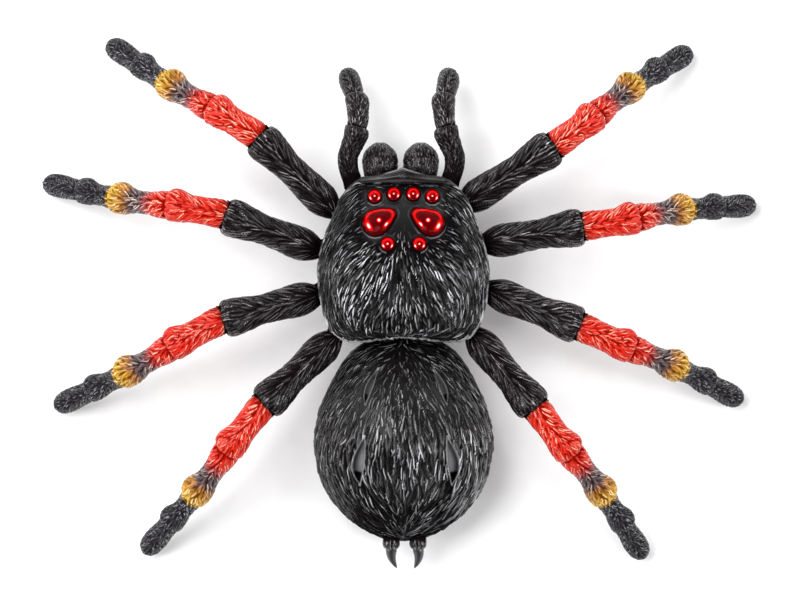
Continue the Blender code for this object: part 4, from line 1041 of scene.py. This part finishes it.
def spinneret_piece(side, name, fur, horn):
    """A furry knob with a smooth curved horn set in it."""
    t = np.linspace(0, 1, 60)
    y = -98.6 - 5.6 * t
    path = xyz(5.6, y, 26.6)
    radius = 3.6 * np.sqrt(np.clip(1 - np.clip((t - 0.45) / 0.56, 0, 1) ** 2.4, 0.02, 1))
    angles = ring_angles(72)
    skin = Skin(rings_round(path, radius[:, None], angles), True, path[:, None, :])
    rng = np.random.default_rng(SEEDS["spinneret"])
    skin.coat(rng, feather(angles, 0.1), 2.8, 0.9, (0.36 * ease(-y, 99.0, 100.0))[:, None])
    points = tailpiece(skin.raised(skin.height, sink=0.1), side)
    tube_piece(f"spinneret_knob_{name}", points, fur, limb_uv(-y, angles, 3.4),
               ("body", "gloss_black_plastic"), side > 0,
               skin.layers(tallest=0.36))
    t = np.linspace(0, 1, 64)
    y = -103.2 - 8.7 * t
    path = xyz(5.5 + 0.7 * np.sin(math.pi * t) - 1.9 * t ** 1.6, y, 26.4 - 2.0 * t)
    radius = np.interp(t, np.linspace(0, 1, 9), [2.2, 2.35, 2.2, 2.0, 1.75, 1.45, 1.1, 0.7, 0.12])
    angles = ring_angles(40)
    points = tailpiece(rings_round(path, radius[:, None], angles), side)
    tube_piece(f"spinneret_horn_{name}", points, horn, limb_uv(-y, angles, 2.0),
               ("body", "gloss_black_plastic", f"spinneret_{name}"), side > 0)


def eye_pieces(material):
    """Eight lenses; the first one stands for the single lens moulding of the CAD."""
    replaced = "eye_cluster"
    for side, label in SIDES:
        eyes = [(f"{k + 1}", (side * x, y) + SMALL_EYE_R * circle(56), (side * x, y), False)
                for k, (x, y) in enumerate(SMALL_EYES)]
        eyes.append(("large", egg_outline(side), (side * 10.2, 34.2), True))
        for number, loop, middle, large in eyes:
            lens(f"eye_{label}_{number}", loop, middle, large, material, replaced)
            replaced = None


# ---- stage, in metres
def softbox(name, place, size, power):
    data = bpy.data.lights.new(name, "AREA")
    data.shape, data.size, data.size_y = "RECTANGLE", *size
    data.energy = power
    lamp = add_object(name, data)
    lamp.location = place
    lamp.rotation_euler = (Vector(AIM) - Vector(place)).to_track_quat("-Z", "Y").to_euler()


AIM = (0.0, 0.0, 0.03)
FLOOR_HALF = 3.0
SKY = ((0.0, 1.5), (0.45, 0.55), (0.95, 0.04))      # height of the view and brightness
FRAME_WIDTH, FRAME_HEIGHT_ABOVE_FLOOR = 0.336, 0.030
LENS, SENSOR = 250.0, 36.0
CAMERA_X, CAMERA_Y = -0.00147, -0.00105


def stage():
    mesh = bpy.data.meshes.new("floor")
    corners = [(x * FLOOR_HALF, y * FLOOR_HALF, 0) for x, y in ((-1, -1), (1, -1), (1, 1), (-1, 1))]
    mesh.from_pydata(corners, [], [(0, 1, 2, 3)])
    mesh.materials.append(plastic_look("floor_paper", (0.86, 0.86, 0.87), rough=0.8, grain=0))
    add_object("floor", mesh)
    world = bpy.data.worlds.new("studio")
    world.use_nodes = True
    sky = Nodes(world.node_tree)
    across = sky.node("SeparateXYZ", 0, None, i0=sky.node("TexCoord"))
    aside = sky.math("ABSOLUTE", across)
    background = sky.tree.nodes["Background"].inputs
    sky.feed(background["Strength"], sky.node("MapRange", 0, None, i0=aside, i1=0.0, i2=0.6, i3=0.4,
                                              i4=1.45))
    shades = ((at, (level * 0.97, level * 0.98, level)) for at, level in SKY)
    sky.feed(background["Color"], sky.ramp(across.node.outputs["Z"], *shades))
    scene = bpy.context.scene
    scene.world = world
    softbox("key", (-0.45, 0.45, 1.3), (0.8, 0.8), 17.5)
    softbox("left_strip", (-0.9, -0.1, 0.95), (0.25, 1.5), 8.0)
    softbox("right_strip", (0.9, -0.1, 0.95), (0.25, 1.5), 9.0)
    camera = bpy.data.cameras.new("camera")
    camera.lens, camera.sensor_width = LENS, SENSOR
    camera.clip_start, camera.clip_end = 0.1, 20.0
    eye = add_object("camera", camera)
    eye.location = (CAMERA_X, CAMERA_Y, FRAME_HEIGHT_ABOVE_FLOOR + FRAME_WIDTH * LENS / SENSOR)
    scene.camera = eye
    scene.view_settings.view_transform = "Standard"


# by slot in the record: name, colour, roughness, then grain, its scale, metal and coat
PLAIN_LOOKS = {
    "chassis_plastic": ("chassis_black", (0.014, 0.014, 0.015), 0.5, 0.3),
    "black_shell_plastic": ("cover_black", (0.014, 0.014, 0.015), 0.5, 0.3),
    "white_acetal": ("acetal", (0.72, 0.72, 0.69), 0.42),
    "natural_nylon": ("nylon", (0.75, 0.72, 0.62), 0.45),
    "grey_gearbox_plastic": ("gearbox_grey", (0.2, 0.2, 0.22), 0.5),
    "brass": ("turned_brass", (0.75, 0.53, 0.2), 0.28, 0.1, 500.0, 1.0),
    "polished_steel": ("steel", (0.58, 0.58, 0.6), 0.25, 0.1, 500.0, 1.0),
    "zinc_plated_steel": ("zinc_plate", (0.5, 0.5, 0.52), 0.4, 0.15, 500.0, 1.0),
    "nickel_spring": ("nickel", (0.65, 0.62, 0.56), 0.3, 0.1, 500.0, 1.0),
    "wheel_plastic": ("wheel_black", (0.025, 0.025, 0.027), 0.45),
    "black_rubber": ("tyre_rubber", (0.018, 0.018, 0.018), 0.85, 0.6, 1500.0),
    "battery_tray_plastic": ("tray_grey", (0.045, 0.045, 0.05), 0.5),
    "battery_sleeve": ("battery_sleeve_green", (0.07, 0.22, 0.09), 0.3, 0.05, 500.0, 0.3),
    "circuit_board": ("solder_mask", (0.012, 0.13, 0.045), 0.35, 0.3, 700.0),
    "switch_plastic": ("switch_black", (0.025, 0.025, 0.025), 0.5),
}


def dress_nodes():
    """Materials for the pieces that stay as they were designed."""
    looks = {slot: plastic_look(*values) for slot, values in PLAIN_LOOKS.items()}
    slots = {part["node"]: part["material_slot"] for part in frame["record"]["subparts"]}
    for node, obj in frame["nodes"].items():
        if slots[node] in looks:
            obj.data.materials.clear()
            obj.data.materials.append(looks[slots[node]])


def build():
    black = fur_look("black_fur", (0.0022, 0.002, 0.0024), (0.017, 0.017, 0.0185),
                     (0.008, 0.0055, 0.006), (0.95, 0.95, 0.98))
    femur = fur_look("femur_fur", (0.003, 0.002, 0.0024), (0.028, 0.023, 0.024),
                     (0.013, 0.007, 0.008), (0.6, 0.56, 0.57))
    paint, glass = leg_look(), lens_look()
    gloss = plastic_look("gloss_black", (0.012, 0.012, 0.014), rough=0.24, grain=0.1,
                         scale=700.0, coat=0.4)
    carapace_piece(black)
    abdomen_piece(black)
    eye_pieces(glass)
    front_rim_piece(black)
    for side, name in SIDES:
        palp_piece(side, name, femur)
        chelicera_piece(side, name, femur, gloss)
        spinneret_piece(side, name, femur, gloss)
    reliefs = {}
    for leg in LEGS:
        pair = leg[1][-1]
        thigh, shin = reliefs.get(pair, (None, None))
        reliefs[pair] = (femur_piece(leg, thigh, femur), shin_piece(leg, shin, paint))
        crank_piece(leg, femur)
    dress_nodes()
    stage()


build()
